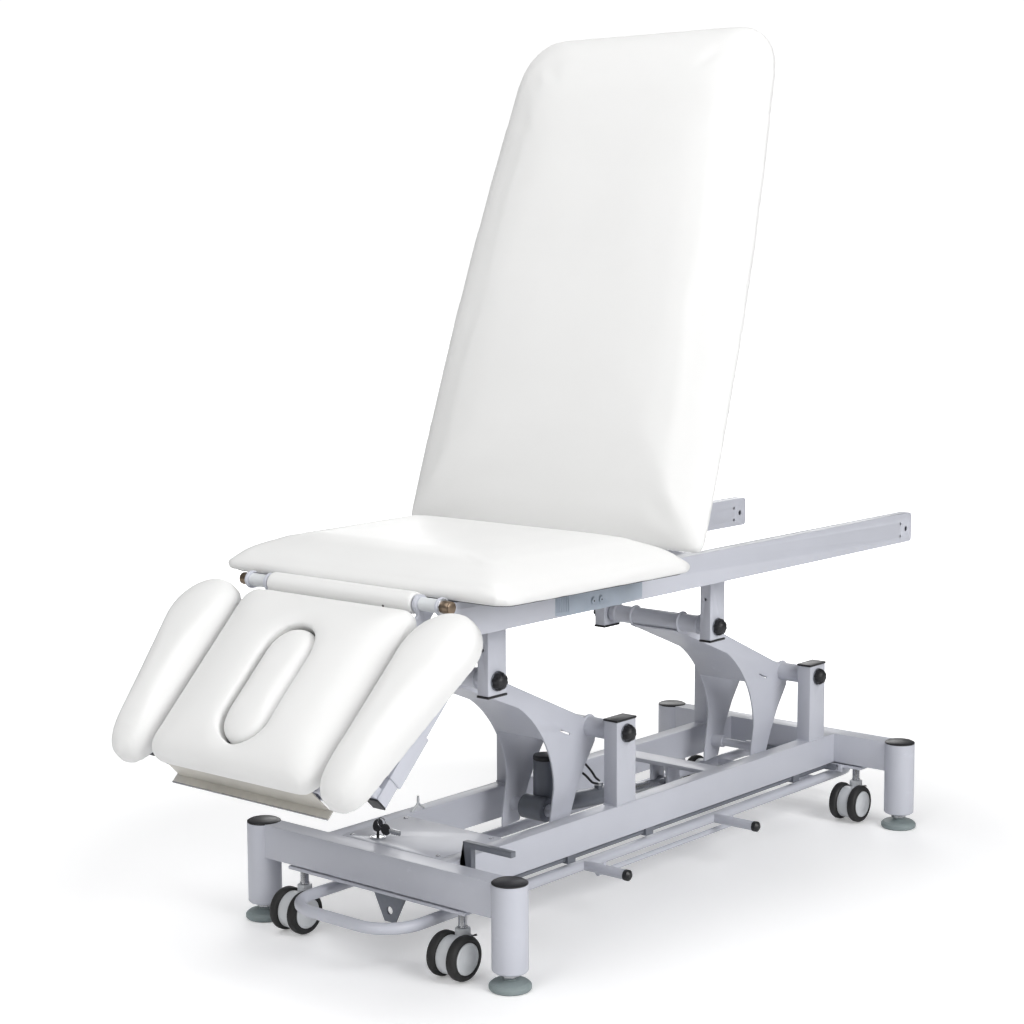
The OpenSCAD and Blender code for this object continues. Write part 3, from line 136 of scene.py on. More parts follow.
class Wiring:
    """A node tree with short calls to add and link nodes."""

    def __init__(self, tree):
        self.tree = tree
        self.column = 0

    def add(self, kind, **values):
        made = self.tree.nodes.new(kind)
        made.location = (self.column * 190 - 900, 0)
        self.column += 1
        for key, value in values.items():
            setattr(made, key, value)
        return made

    def put(self, made, socket, value):
        """Sets a socket to a constant, or links it if value is a socket."""
        target = made.inputs[socket]
        if isinstance(value, bpy.types.NodeSocket):
            self.tree.links.new(value, target)
        else:
            target.default_value = value
        return made

    def noise(self, vector, scale, detail=3, rough=0.5):
        made = self.add("ShaderNodeTexNoise")
        self.put(made, "Vector", vector)
        self.put(made, "Scale", scale)
        self.put(made, "Detail", detail)
        self.put(made, "Roughness", rough)
        return made.outputs["Fac"]

    def cells(self, vector, scale, feature="F1"):
        made = self.add("ShaderNodeTexVoronoi", feature=feature)
        self.put(made, "Vector", vector)
        self.put(made, "Scale", scale)
        return made.outputs["Distance"]

    def stretched(self, vector, scale):
        made = self.add("ShaderNodeMapping")
        self.put(made, "Vector", vector)
        self.put(made, "Scale", scale)
        return made.outputs["Vector"]

    def maths(self, kind, a, b=0.0, clamp=False):
        made = self.add("ShaderNodeMath", operation=kind, use_clamp=clamp)
        self.put(made, 0, a)
        self.put(made, 1, b)
        return made.outputs[0]

    def spread(self, value, low, high, to_low=0.0, to_high=1.0):
        made = self.add("ShaderNodeMapRange", clamp=True)
        for socket, what in ((0, value), (1, low), (2, high), (3, to_low), (4, to_high)):
            self.put(made, socket, what)
        return made.outputs[0]

    def mixed(self, share, a, b):
        made = self.add("ShaderNodeMix", data_type="RGBA")
        self.put(made, 0, share)
        self.put(made, 6, a)
        self.put(made, 7, b)
        return made.outputs[2]

    def bump(self, height, strength, distance):
        made = self.add("ShaderNodeBump")
        self.put(made, "Height", height)
        self.put(made, "Strength", strength)
        self.put(made, "Distance", distance)
        return made.outputs["Normal"]


def group(name, inputs, outputs):
    """A shared node group with named sockets, and the wiring inside it."""
    tree = bpy.data.node_groups.new(name, "ShaderNodeTree")
    for label, kind, value in inputs:
        socket = tree.interface.new_socket(label, in_out="INPUT", socket_type=kind)
        if value is not None:
            socket.default_value = value
    for label, kind in outputs:
        tree.interface.new_socket(label, in_out="OUTPUT", socket_type=kind)
    wiring = Wiring(tree)
    start = wiring.add("NodeGroupInput")
    end = wiring.add("NodeGroupOutput")
    return wiring, start.outputs, end


def make_groups():
    """Effects that several finishes share: tone drift, fine texture, scuffs, brushing and weave."""
    made = {}
    vector = ("Vector", "NodeSocketVector", None)
    height = ("Height", "NodeSocketFloat")
    shine = ("Shine", "NodeSocketFloat")
    net, given, end = group("tone_drift",
                      [vector, ("Colour", "NodeSocketColor", (1, 1, 1, 1)),
                       ("Other", "NodeSocketColor", (1, 1, 1, 1)), ("Scale", "NodeSocketFloat", 4)],
                      [("Colour", "NodeSocketColor")])
    broad = net.noise(given["Vector"], given["Scale"], 4, 0.55)
    net.put(end, "Colour", net.mixed(net.spread(broad, 0.32, 0.68), given["Colour"], given["Other"]))
    made["tone"] = net.tree
    net, given, end = group("fine_texture", [vector, ("Scale", "NodeSocketFloat", 600)], [height, shine])
    fine = net.noise(given["Vector"], given["Scale"], 3, 0.6)
    slow = net.noise(given["Vector"], net.maths("MULTIPLY", given["Scale"], 0.02), 2, 0.5)
    net.put(end, "Height", net.maths("ADD", fine, net.maths("MULTIPLY", slow, 0.6)))
    net.put(end, "Shine", net.spread(slow, 0.3, 0.7))
    made["fine"] = net.tree
    net, given, end = group("light_scuffs",
                      [vector, ("Scale", "NodeSocketFloat", 30), ("Amount", "NodeSocketFloat", 0.3)],
                      [("Mask", "NodeSocketFloat")])
    streaks = net.noise(net.stretched(given["Vector"], (1, 0.18, 1.6)), given["Scale"], 5, 0.7)
    place = net.noise(given["Vector"], 5.0, 2, 0.5)
    marks = net.maths("MULTIPLY", net.spread(streaks, 0.62, 0.72), net.spread(place, 0.5, 0.66))
    net.put(end, "Mask", net.maths("MULTIPLY", marks, given["Amount"], True))
    made["scuffs"] = net.tree
    net, given, end = group("leather_grain", [vector, ("Scale", "NodeSocketFloat", 700)], [height, shine])
    cell = net.cells(given["Vector"], given["Scale"])
    crease = net.cells(given["Vector"], net.maths("MULTIPLY", given["Scale"], 0.45), "DISTANCE_TO_EDGE")
    soft = net.noise(given["Vector"], net.maths("MULTIPLY", given["Scale"], 0.012), 3, 0.5)
    grain = net.maths("ADD", cell, net.maths("MULTIPLY", net.spread(crease, 0.0, 0.08), 0.7))
    net.put(end, "Height", grain)
    net.put(end, "Shine", net.spread(soft, 0.3, 0.7))
    made["leather"] = net.tree
    net, given, end = group("brushed_lines", [vector, ("Scale", "NodeSocketFloat", 120)], [height])
    net.put(end, "Height", net.noise(net.stretched(given["Vector"], (1, 0.03, 1)), given["Scale"], 4, 0.7))
    made["brushed"] = net.tree
    net, given, end = group("woven_cloth", [vector, ("Scale", "NodeSocketFloat", 900)], [height])
    waves = []
    for direction in ("X", "Y"):
        wave = net.add("ShaderNodeTexWave", bands_direction=direction)
        net.put(wave, "Vector", given["Vector"])
        net.put(wave, "Scale", given["Scale"])
        waves.append(wave.outputs["Fac"])
    net.put(end, "Height", net.maths("MAXIMUM", waves[0], waves[1]))
    made["weave"] = net.tree
    return made


def shade(value, by):
    """A colour made lighter or darker, with its alpha."""
    return tuple(min(1.0, channel * by) for channel in value) + (1.0,)


def finish_of(name, groups, base, other, rough, metal, texture, scale, bump, scuff, drift, coat=0, sheen=0):
    """One material: drifting colour, a textured surface and light scuffs on the object's own coordinates."""
    material = bpy.data.materials.new(name)
    material.use_nodes = True
    net = Wiring(material.node_tree)
    net.tree.nodes.clear()
    out = net.add("ShaderNodeOutputMaterial")
    surface = net.add("ShaderNodeBsdfPrincipled")
    net.tree.links.new(surface.outputs[0], out.inputs[0])
    where = net.add("ShaderNodeTexCoord").outputs["Object"]
    tone = net.add("ShaderNodeGroup", node_tree=groups["tone"])
    net.put(tone, "Vector", where)
    net.put(tone, "Colour", shade(base, 1.0))
    net.put(tone, "Other", shade(base, other))
    net.put(tone, "Scale", drift)
    tint = tone.outputs["Colour"]
    detail = net.add("ShaderNodeGroup", node_tree=groups[texture])
    net.put(detail, "Vector", where)
    net.put(detail, "Scale", scale)
    if "Shine" in detail.outputs:
        shine = detail.outputs["Shine"]
    else:
        shine = net.noise(where, 9.0, 3, 0.5)
    gloss = net.spread(shine, 0.0, 1.0, rough[0], rough[1])
    if scuff:
        marks = net.add("ShaderNodeGroup", node_tree=groups["scuffs"])
        net.put(marks, "Vector", where)
        net.put(marks, "Amount", scuff)
        tint = net.mixed(marks.outputs["Mask"], tint, shade(base, 1.25))
        gloss = net.maths("ADD", gloss, net.maths("MULTIPLY", marks.outputs["Mask"], 0.25), True)
    net.put(surface, "Base Color", tint)
    net.put(surface, "Roughness", gloss)
    net.put(surface, "Metallic", metal)
    net.put(surface, "Coat Weight", coat)
    net.put(surface, "Sheen Weight", sheen)
    net.put(surface, "Normal", net.bump(detail.outputs["Height"], bump[0], bump[1]))
    return material


# Each material slot of the record: the material's name, its colour setting and its surface
FINISHES = {
    "frame_paint": ("frame_powder_coat", "paint", dict(
        other=0.93, rough=(0.34, 0.44), metal=0, texture="fine", scale=850, bump=(0.16, 0.0002), scuff=0.35,
        drift=3.5, coat=0.12)),
    "upholstery": ("white_vinyl", "vinyl", dict(
        other=0.965, rough=(0.42, 0.52), metal=0, texture="leather", scale=750, bump=(0.12, 0.0003), scuff=0,
        drift=2.4, coat=0.05)),
    "dark_steel": ("dark_steel", "dark_steel", dict(
        other=0.8, rough=(0.32, 0.46), metal=0.4, texture="brushed", scale=160, bump=(0.12, 0.0002),
        scuff=0.4, drift=12)),
    "bright_steel": ("bright_steel", "bright_steel", dict(
        other=0.88, rough=(0.2, 0.32), metal=1, texture="brushed", scale=260, bump=(0.1, 0.0001), scuff=0.2,
        drift=14)),
    "black_plastic": ("black_plastic", "black", dict(
        other=1.5, rough=(0.32, 0.48), metal=0, texture="fine", scale=1400, bump=(0.25, 0.0002), scuff=0.15,
        drift=18)),
    "foot_plastic": ("foot_plastic", "foot", dict(
        other=0.86, rough=(0.42, 0.56), metal=0, texture="fine", scale=900, bump=(0.25, 0.0002), scuff=0.3,
        drift=14)),
    "white_plastic": ("white_plastic", "white", dict(
        other=0.94, rough=(0.28, 0.4), metal=0, texture="fine", scale=700, bump=(0.1, 0.0002), scuff=0.12,
        drift=10)),
    "pale_plastic": ("control_plastic", "control", dict(
        other=0.9, rough=(0.34, 0.46), metal=0, texture="fine", scale=1300, bump=(0.18, 0.0002), scuff=0.15,
        drift=16)),
    "tyre_rubber": ("tyre_rubber", "tyre", dict(
        other=1.9, rough=(0.5, 0.68), metal=0, texture="fine", scale=1100, bump=(0.35, 0.0003), scuff=0.2,
        drift=20)),
    "board": ("dust_cloth", "cloth", dict(
        other=1.4, rough=(0.75, 0.9), metal=0, texture="weave", scale=420, bump=(0.4, 0.0004), scuff=0,
        drift=9, coat=0, sheen=0.2)),
    "bolt": ("coppery_bolt", "bolt", dict(
        other=0.8, rough=(0.28, 0.4), metal=1, texture="brushed", scale=300, bump=(0.12, 0.0001), scuff=0.25,
        drift=20)),
    "tray_metal": ("tray_rail_metal", "tray", dict(
        other=0.85, rough=(0.3, 0.42), metal=0.3, texture="brushed", scale=200, bump=(0.14, 0.0002),
        scuff=0.3, drift=9)),
}

# The materials made from the table, filled by the first operator
LOOKS = {}

SLOT_OF = {row["node"]: row["material_slot"] for row in frame["record"]["subparts"]}
BODY_OF = {node: body for body, nodes in frame["record"]["behaviour"]["bodies"].items() for node in nodes}


def deselect():
    """Nothing is selected and nothing is being edited."""
    if bpy.context.mode != "OBJECT":
        bpy.ops.object.mode_set(mode="OBJECT")
    bpy.ops.object.select_all(action="DESELECT")


def take(piece):
    """Makes one piece the only one that is selected and active."""
    deselect()
    piece.select_set(True)
    bpy.context.view_layer.objects.active = piece


def edit(piece, mode="FACE"):
    """Enters edit mode on one piece."""
    take(piece)
    bpy.ops.object.mode_set(mode="EDIT")
    bpy.ops.mesh.select_mode(type=mode)


def leave():
    """Leaves edit mode."""
    bpy.ops.object.mode_set(mode="OBJECT")


def settle(piece):
    """Puts a piece's place into its mesh."""
    take(piece)
    bpy.ops.object.transform_apply(location=True, rotation=True, scale=True)


def applied(piece, kind, **values):
    """Adds a modifier to a piece and applies it."""
    take(piece)
    made = piece.modifiers.new(kind.lower(), kind)
    for key, value in values.items():
        setattr(made, key, value)
    bpy.ops.object.modifier_apply(modifier=made.name)


def dress(piece, name, slot, body):
    """Names a piece, gives it its finish and sets it on its body."""
    piece.name = name
    piece.data.name = name
    piece.data.materials.clear()
    piece.data.materials.append(LOOKS[slot])
    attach(piece, body)
    return piece


def copy_of(node, name):
    """A merged copy of a frame node's mesh."""
    source = frame["nodes"][node]
    piece = bpy.data.objects.new(name, source.data.copy())
    bpy.context.scene.collection.objects.link(piece)
    edit(piece, "VERT")
    bpy.ops.mesh.select_all(action="SELECT")
    bpy.ops.mesh.remove_doubles(threshold=0.00001)
    bpy.ops.mesh.customdata_custom_splitnormals_clear()
    leave()
    return piece


def eased(node, width):
    """A copy of a rigid node with small round edges, which stands for the node."""
    name = node + "_finished"
    piece = copy_of(node, name)
    edit(piece)
    bpy.ops.mesh.select_all(action="SELECT")
    bpy.ops.mesh.dissolve_limited(angle_limit=FLAT)
    leave()
    if width:
        applied(piece, "BEVEL", width=width, segments=2, limit_method="ANGLE", angle_limit=ROUNDED,
                use_clamp_overlap=False, loop_slide=False)
    take(piece)
    bpy.ops.object.shade_smooth_by_angle(angle=SHARP)
    dress(piece, name, SLOT_OF[node], BODY_OF[node])
    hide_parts(node)
    return piece


def ready(piece):
    """Merges doubles and turns faces outwards."""
    edit(piece)
    bpy.ops.mesh.select_all(action="SELECT")
    bpy.ops.mesh.remove_doubles(threshold=0.000005)
    bpy.ops.mesh.normals_make_consistent(inside=False)
    leave()


def stack(name, rings, place, axis, slot, body, sides=40, lobes=0, lobe=1.0, bevel=0.0003):
    """A turned piece: a disc that is extruded and resized ring by ring, then laid along an axis."""
    deselect()
    first = rings[0]
    bpy.ops.mesh.primitive_circle_add(vertices=sides, radius=first[0], fill_type="NGON", location=(0, 0, 0))
    piece = bpy.context.object
    if lobes:
        edit(piece, "VERT")
        bpy.ops.mesh.select_all(action="DESELECT")
        leave()
        each = sides // lobes
        for vertex in piece.data.vertices:
            vertex.select = vertex.index % each < each / 2
        bpy.ops.object.mode_set(mode="EDIT")
        bpy.ops.transform.resize(value=(lobe, lobe, 1))
        leave()
    edit(piece)
    bpy.ops.mesh.select_all(action="SELECT")
    for before, after in zip(rings, rings[1:]):
        bpy.ops.mesh.extrude_region_move(TRANSFORM_OT_translate={"value": (0, 0, after[1] - before[1])})
        share = after[0] / before[0]
        bpy.ops.transform.resize(value=(share, share, 1))
    leave()
    ready(piece)
    if bevel:
        applied(piece, "BEVEL", width=bevel, segments=2, limit_method="ANGLE", angle_limit=SMALL_SHARP,
                use_clamp_overlap=True)
    turn = Vector((0, 0, 1)).rotation_difference(Vector(axis)).to_matrix().to_4x4()
    piece.matrix_world = Matrix.Translation(Vector(place) + Vector(axis) * first[1]) @ turn
    settle(piece)
    take(piece)
    bpy.ops.object.shade_smooth_by_angle(angle=SMALL_SHARP)
    return dress(piece, name, slot, body)


def slab(name, low, high, slot, body, bevel=0.0006, turn=None, centre=None):
    """A box between two corners with rounded edges, turned about a point if asked."""
    deselect()
    low, high = Vector(low), Vector(high)
    bpy.ops.mesh.primitive_cube_add(size=1, location=(low + high) / 2, scale=high - low)
    piece = bpy.context.object
    settle(piece)
    applied(piece, "BEVEL", width=bevel, segments=3, limit_method="ANGLE", angle_limit=SMALL_SHARP,
            use_clamp_overlap=True)
    if turn is not None:
        piece.matrix_world = Matrix.Translation(centre) @ turn @ Matrix.Translation(-Vector(centre))
        settle(piece)
    take(piece)
    bpy.ops.object.shade_smooth_by_angle(angle=SMALL_SHARP)
    return dress(piece, name, slot, body)


# Upholstery

def heights(piece, floor):
    """Each vertex's height over a section's board, and all the places."""
    places = np.empty(len(piece.data.vertices) * 3)
    piece.data.vertices.foreach_get("co", places)
    places = places.reshape(-1, 3)
    return (places - np.array(floor[0])) @ np.array(floor[1]), places


def set_places(piece, places):
    """Writes vertex places back."""
    piece.data.vertices.foreach_set("co", np.ascontiguousarray(places, dtype=np.float32).ravel())
    piece.data.update()


def swell(piece, held, cap):
    """Blows a cover up a little by cloth simulation: held vertices stay, and the rest move by cap at most."""
    start = heights(piece, SEAT_FLOOR)[1].copy()
    rim = piece.vertex_groups.new(name="held")
    rim.add([int(index) for index in np.nonzero(held)[0]], 1.0, "REPLACE")
    cloth = piece.modifiers.new("cloth", "CLOTH")
    cloth.settings.quality = 5
    cloth.settings.mass = 0.3
    cloth.settings.tension_stiffness = 40
    cloth.settings.compression_stiffness = 40
    cloth.settings.shear_stiffness = 20
    cloth.settings.bending_stiffness = 1.5
    cloth.settings.vertex_group_mass = "held"
    cloth.settings.use_pressure = True
    cloth.settings.uniform_pressure_force = 4
    cloth.settings.effector_weights.gravity = 0
    cloth.point_cache.frame_start = 1
    cloth.point_cache.frame_end = 20
    for number in range(1, 21):
        bpy.context.scene.frame_set(number)
    take(piece)
    bpy.ops.object.modifier_apply(modifier=cloth.name)
    bpy.context.scene.frame_set(1)
    piece.vertex_groups.clear()
    moved = heights(piece, SEAT_FLOOR)[1] - start
    far = np.linalg.norm(moved, axis=1)
    share = np.minimum(1.0, cap / np.maximum(far, 1e-9))
    set_places(piece, start + moved * share[:, None])


def cover(node, name, floor, voxel, cap, held_height, shrink, smooth, extra_hold=None):
    """The cover of one pad: the pad's form, slightly smaller, remeshed, smoothed and blown up."""
    piece = copy_of(node, name)
    take(piece)
    piece.data.remesh_voxel_size = voxel
    piece.data.remesh_voxel_adaptivity = 0
    bpy.ops.object.voxel_remesh()
    height, places = heights(piece, floor)
    free = piece.vertex_groups.new(name="free")
    share = np.clip((height - held_height * 0.5) / held_height, 0, 1)
    for index in range(len(share)):
        if share[index] > 0:
            free.add([index], float(share[index]), "REPLACE")
    applied(piece, "SMOOTH", factor=0.5, iterations=smooth, vertex_group="free")
    applied(piece, "DISPLACE", strength=-shrink, mid_level=0, vertex_group="free")
    piece.vertex_groups.clear()
    height, places = heights(piece, floor)
    held = height < held_height
    if extra_hold is not None:
        held |= extra_hold(places)
    swell(piece, held, cap)
    applied(piece, "SMOOTH", factor=0.4, iterations=5)
    applied(piece, "SUBSURF", levels=1, render_levels=1)
    take(piece)
    bpy.ops.object.shade_smooth()
    dress(piece, name, "upholstery", BODY_OF[node])
    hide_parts(node)
    return piece


def plug_distance(places):
    """Distance of each place from the plug's outline, seen square to the front pad, negative inside."""
    from_hinge = places - np.array(FRONT_HINGE)
    along = from_hinge @ np.array(FRONT_ALONG) - PLUG_MIDDLE
    past = np.maximum(np.abs(along) - PLUG_STRAIGHT, 0)
    return np.hypot(from_hinge[:, 0], past) - PLUG_RADIUS


class CHAIR_OT_finishes(bpy.types.Operator):
    """Makes the chair's materials and gives every frame node its finish."""

    bl_idname = "chair.finishes"
    bl_label = "Finishes"

    def execute(self, context):
        colours = context.scene.chair_colours
        groups = make_groups()
        for slot, (name, setting, values) in FINISHES.items():
            LOOKS[slot] = finish_of(name, groups, getattr(colours, setting), **values)
        for name, piece in frame["nodes"].items():
            piece.data.materials.clear()
            piece.data.materials.append(LOOKS[SLOT_OF[name]])
        return {"FINISHED"}


# The stage: each light's name, place, size and power, and how the floor's painted glow grows from near to far
LIGHTS = (("key", (4.6, -0.4, 2.9), 3.0, 172), ("top", (-0.4, -1.8, 4.8), 3.4, 104),
          ("front", (0.2, -5.0, 3.6), 3.0, 86), ("rear", (-3.4, 4.4, 2.6), 3.0, 70))
LIGHT_TARGET = (0, 0.1, 0.6)
ROOM_FILL = 0.15
ROOM_SEEN = 0.9
FLOOR_SIZE = 40
FLOOR_PAINTED_GLOW = (0.9, 2.8, 0.24, 1.3)

# The photograph's camera: yaw, pitch and roll in degrees, lens in millimetres, place in metres
CAMERA_TURN = (40.41, 7.32, -0.27)
CAMERA_LENS = 73.87
CAMERA_PLACE = (2.38917, -2.46187 + SHIFT_Y, 1.18627)


class CHAIR_OT_stage(bpy.types.Operator):
    """Sets the floor, the soft lights and the camera."""

    bl_idname = "chair.stage"
    bl_label = "Floor, light and camera"

    def execute(self, context):
        deselect()
        bpy.ops.mesh.primitive_plane_add(size=FLOOR_SIZE, location=(0, 0, 0))
        floor = context.object
        floor.name = "floor"
        material = bpy.data.materials.new("pale_floor")
        material.use_nodes = True
        net = Wiring(material.node_tree)
        surface = material.node_tree.nodes["Principled BSDF"]
        where = net.add("ShaderNodeTexCoord").outputs["Object"]
        tint = net.mixed(net.noise(where, 2.0), (0.93, 0.93, 0.94, 1), (0.95, 0.95, 0.95, 1))
        net.put(surface, "Base Color", tint)
        surface.inputs["Roughness"].default_value = 0.7
        # Painted light: the floor glows for camera rays only. The glow is faint near the chair, where it
        # lifts the cast shadows, and grows with distance until the floor fades into the white room
        reach = net.add("ShaderNodeVectorMath", operation="LENGTH")
        net.put(reach, 0, where)
        far = net.spread(reach.outputs["Value"], *FLOOR_PAINTED_GLOW)
        seen = net.add("ShaderNodeLightPath").outputs["Is Camera Ray"]
        net.put(surface, "Emission Strength", net.maths("MULTIPLY", far, seen))
        surface.inputs["Emission Color"].default_value = (1, 1, 1, 1)
        floor.data.materials.append(material)
        world = bpy.data.worlds.new("pale_room")
        context.scene.world = world
        world.use_nodes = True
        room = Wiring(world.node_tree)
        seen = room.add("ShaderNodeLightPath").outputs["Is Camera Ray"]
        back = world.node_tree.nodes["Background"]
        back.inputs[0].default_value = (1, 1, 1, 1)
        room.put(back, 1, room.maths("ADD", room.maths("MULTIPLY", seen, ROOM_SEEN), ROOM_FILL))
        context.scene.view_settings.view_transform = "Standard"
        for name, place, size, power in LIGHTS:
            data = bpy.data.lights.new(name + "_light", "AREA")
            data.size = size
            data.energy = power
            lamp = bpy.data.objects.new(name + "_light", data)
            context.scene.collection.objects.link(lamp)
            lamp.location = place
            aim = Vector(LIGHT_TARGET) - Vector(place)
            lamp.rotation_euler = aim.to_track_quat("-Z", "Y").to_euler()
        yaw, pitch, roll = (math.radians(angle) for angle in CAMERA_TURN)
        ahead = Vector((-math.sin(yaw) * math.cos(pitch), math.cos(yaw) * math.cos(pitch), -math.sin(pitch)))
        right = Vector((math.cos(yaw), math.sin(yaw), 0))
        up = right.cross(ahead)
        right, up = right * math.cos(roll) + up * math.sin(roll), up * math.cos(roll) - right * math.sin(roll)
        data = bpy.data.cameras.new("camera")
        data.lens = CAMERA_LENS
        data.sensor_width = 36
        data.clip_end = 60
        camera = bpy.data.objects.new("camera", data)
        context.scene.collection.objects.link(camera)
        turn = Matrix((right, up, -ahead)).transposed().to_4x4()
        camera.matrix_world = Matrix.Translation(CAMERA_PLACE) @ turn
        context.scene.camera = camera
        return {"FINISHED"}


class CHAIR_OT_pads(bpy.types.Operator):
    """Makes the covers of the seat, the back, the front section, its plug and roll, and the armrests."""

    bl_idname = "chair.pads"
    bl_label = "Upholstery"

    def execute(self, context):
        sizes = context.scene.chair_sizes
        small = sizes.small_voxel
        cover("seat_cushion", "seat_cover", SEAT_FLOOR, sizes.voxel * 0.8, sizes.swell,
              held_height=0.016, shrink=0.001, smooth=4)
        cover("back_cushion", "back_cover", BACK_FLOOR, sizes.voxel * 0.9, sizes.swell,
              held_height=0.016, shrink=0.001, smooth=4)
        front = cover("front_cushion", "front_cover", FRONT_FLOOR, small, sizes.small_swell,
                      held_height=0.015, shrink=0.001, smooth=4,
                      extra_hold=lambda places: plug_distance(places) < PLUG_SEAM)
        height, places = heights(front, FRONT_FLOOR)
        near = np.clip(1 - plug_distance(places) / DIP_REACH, 0, 1) * (height > DIP_FROM)
        set_places(front, places - np.outer(DIP * near ** 2, np.array(FRONT_UP)))
        cover("face_plug", "plug_cover", PLUG_FLOOR, small * 0.75, PLUG_SWELL,
              held_height=0.012, shrink=0.002, smooth=6)
        cover("hinge_roll", "roll_cover", ROLL_FLOOR, small * 0.75, ROLL_SWELL,
              held_height=0.001, shrink=0.0008, smooth=3,
              extra_hold=lambda places: np.abs(places[:, 0]) > ROLL_HELD)
        right = cover("armrest_right_pad", "armrest_right_cover", REST_FLOOR, small, sizes.small_swell,
                      held_height=0.006, shrink=0.002, smooth=8)
        left = right.copy()
        left.data = right.data.copy()
        for key in list(left.keys()):
            if key.startswith("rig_"):
                del left[key]
        context.scene.collection.objects.link(left)
        left.parent = None
        left.matrix_world = Matrix.Diagonal((-1, 1, 1, 1))
        settle(left)
        ready(left)
        dress(left, "armrest_left_cover", "upholstery", "armrest_left")
        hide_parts("armrest_left_pad")
        return {"FINISHED"}


class CHAIR_OT_metalwork(bpy.types.Operator):
    """Gives the frame's rigid pieces their small round edges."""

    bl_idname = "chair.metalwork"
    bl_label = "Frame edges"

    def execute(self, context):
        edge = context.scene.chair_sizes.edge
        small_share = 0.4
        control_share = 0.25
        pads = {"seat_cushion", "back_cushion", "front_cushion", "face_plug", "hinge_roll",
                "armrest_left_pad", "armrest_right_pad"}
        fine = {"key", "key_lock", "button_up", "button_down", "motor_cable", "back_strut_rod", "hinge_bolts",
                "hinge_bushes", "tray_rail", "foot_bar", "lift_motor", "underframe_brackets"}
        for node in frame["nodes"]:
            if node in pads:
                continue
            width = edge
            if node in fine:
                width = 0
            if node.endswith("_wheels") or node.endswith("_fork") or "axles" in node or "caps" in node:
                width = edge * small_share
            if node == "hand_control":
                width = edge * control_share
            piece = eased(node, width)
            if node == "motor_cable":
                applied(piece, "SUBSURF", levels=1, render_levels=1)
                bpy.ops.object.shade_smooth()
        return {"FINISHED"}


def line_of(name, points, thick, slot, body, smooth=True):
    """A round wire or bead along points, closed at its ends."""
    deselect()
    data = bpy.data.curves.new(name, "CURVE")
    data.dimensions = "3D"
    data.bevel_depth = thick / 2
    data.bevel_resolution = 3
    data.use_fill_caps = True
    data.resolution_u = 6
    spline = data.splines.new("BEZIER" if smooth else "POLY")
    if smooth:
        spline.bezier_points.add(len(points) - 1)
        for knot, place in zip(spline.bezier_points, points):
            knot.co = place
            knot.handle_left_type = knot.handle_right_type = "AUTO"
    else:
        spline.points.add(len(points) - 1)
        for knot, place in zip(spline.points, points):
            knot.co = (*place, 1)
    piece = bpy.data.objects.new(name, data)
    bpy.context.scene.collection.objects.link(piece)
    take(piece)
    bpy.ops.object.convert(target="MESH")
    piece = bpy.context.object
    ready(piece)
    take(piece)
    bpy.ops.object.shade_smooth_by_angle(angle=WIRE_SHARP)
    return dress(piece, name, slot, body)


BEAD_STEP = 0.003
BEAD_RIPPLE = 0.0004
BEAD_THICK = 0.0034


def bead_round(name, x, y, z, body):
    """A weld bead round a tube's rectangular foot, with a slight ripple."""
    corners = [(x[0], y[0]), (x[1], y[0]), (x[1], y[1]), (x[0], y[1]), (x[0], y[0])]
    points = []
    for (from_x, from_y), (to_x, to_y) in zip(corners, corners[1:]):
        run_x = to_x - from_x
        run_y = to_y - from_y
        count = max(2, int(math.hypot(run_x, run_y) / BEAD_STEP))
        for number in range(count):
            share = number / count
            ripple = BEAD_RIPPLE * math.sin(len(points) * 1.7)
            points.append((from_x + run_x * share, from_y + run_y * share, z + ripple))
    points.append((*corners[0], z))
    return line_of(name, points, BEAD_THICK, "frame_paint", body, smooth=False)


def ring_of(name, place, axis, radius, wire, slot, body):
    """A closed ring of wire."""
    deselect()
    bpy.ops.mesh.primitive_torus_add(major_radius=radius, minor_radius=wire / 2, major_segments=48,
                                     minor_segments=10)
    piece = bpy.context.object
    turn = Vector((0, 0, 1)).rotation_difference(Vector(axis)).to_matrix().to_4x4()
    piece.matrix_world = Matrix.Translation(Vector(place)) @ turn
    settle(piece)
    take(piece)
    bpy.ops.object.shade_smooth()
    return dress(piece, name, slot, body)


def in_front(x, along, over):
    """A point of the front section: across, along from its hinge, and over its plane."""
    return FRONT_HINGE + Vector((x, 0, 0)) + FRONT_ALONG * along + FRONT_UP * over


SIDES = ((1, "right"), (-1, "left"))
UP = (0, 0, 1)
RIGHT = (1, 0, 0)

# Places on the frame: how far out, along Y and up, as in the CAD
POST_OUT = 0.143
POST_IN = 0.113
POST_Y = (-0.008, 0.632)
POST_PIVOT_Z = 0.308
POST_WELD_Z = 0.1772
POST_HALF = 0.028
HANGER_OUT = 0.1385
HANGER_IN = 0.1145
HANGER_Y = (-0.358, 0.282)
HANGER_PIVOT_Z = 0.460
HANGER_WELD_Z = 0.5668
HANGER_HALF = 0.0235
RAIL_OUT = 0.219
ENDS = (("front", -0.5), ("rear", 0.72))
CASTOR_X = 0.184
WHEEL_BACK = 0.022
WHEEL_FACE = 0.0279
WHEEL_Z = 0.0395
COLLAR_Z = 0.0664
STEM_Z = 0.0812
LEG_X = 0.285
LEG_TOP = 0.1788
FOOT_DOME_Z = 0.0119
FOOT_NUT_Z = 0.0205
PLATE_TOP = 0.1770
COVER_SCREWS = ((-0.100, -0.466), (0.100, -0.466), (-0.100, -0.332), (0.100, -0.332))
BUTTONS = (("button_up", -0.218), ("button_down", -0.197))
BUTTON_Z = 0.587
CONTROL_FACE = 0.2320
BUTTON_FACE = 0.2340
CONTROL_SLOPE = (0.013, 0.026)
CONTROL_START = (0.219, -0.304, 0.5925)
CONTROL_TURN = math.radians(-26.6)
RIBS = 6
RIB_FIRST = 0.14
RIB_STEP = 0.145
RIB_HALF = (0.0012, 0.0007, 0.0165)
MOTOR_Y = -0.0660
MOTOR_SLEEVE_Z = 0.1505
MOTOR_END_Z = 0.2478
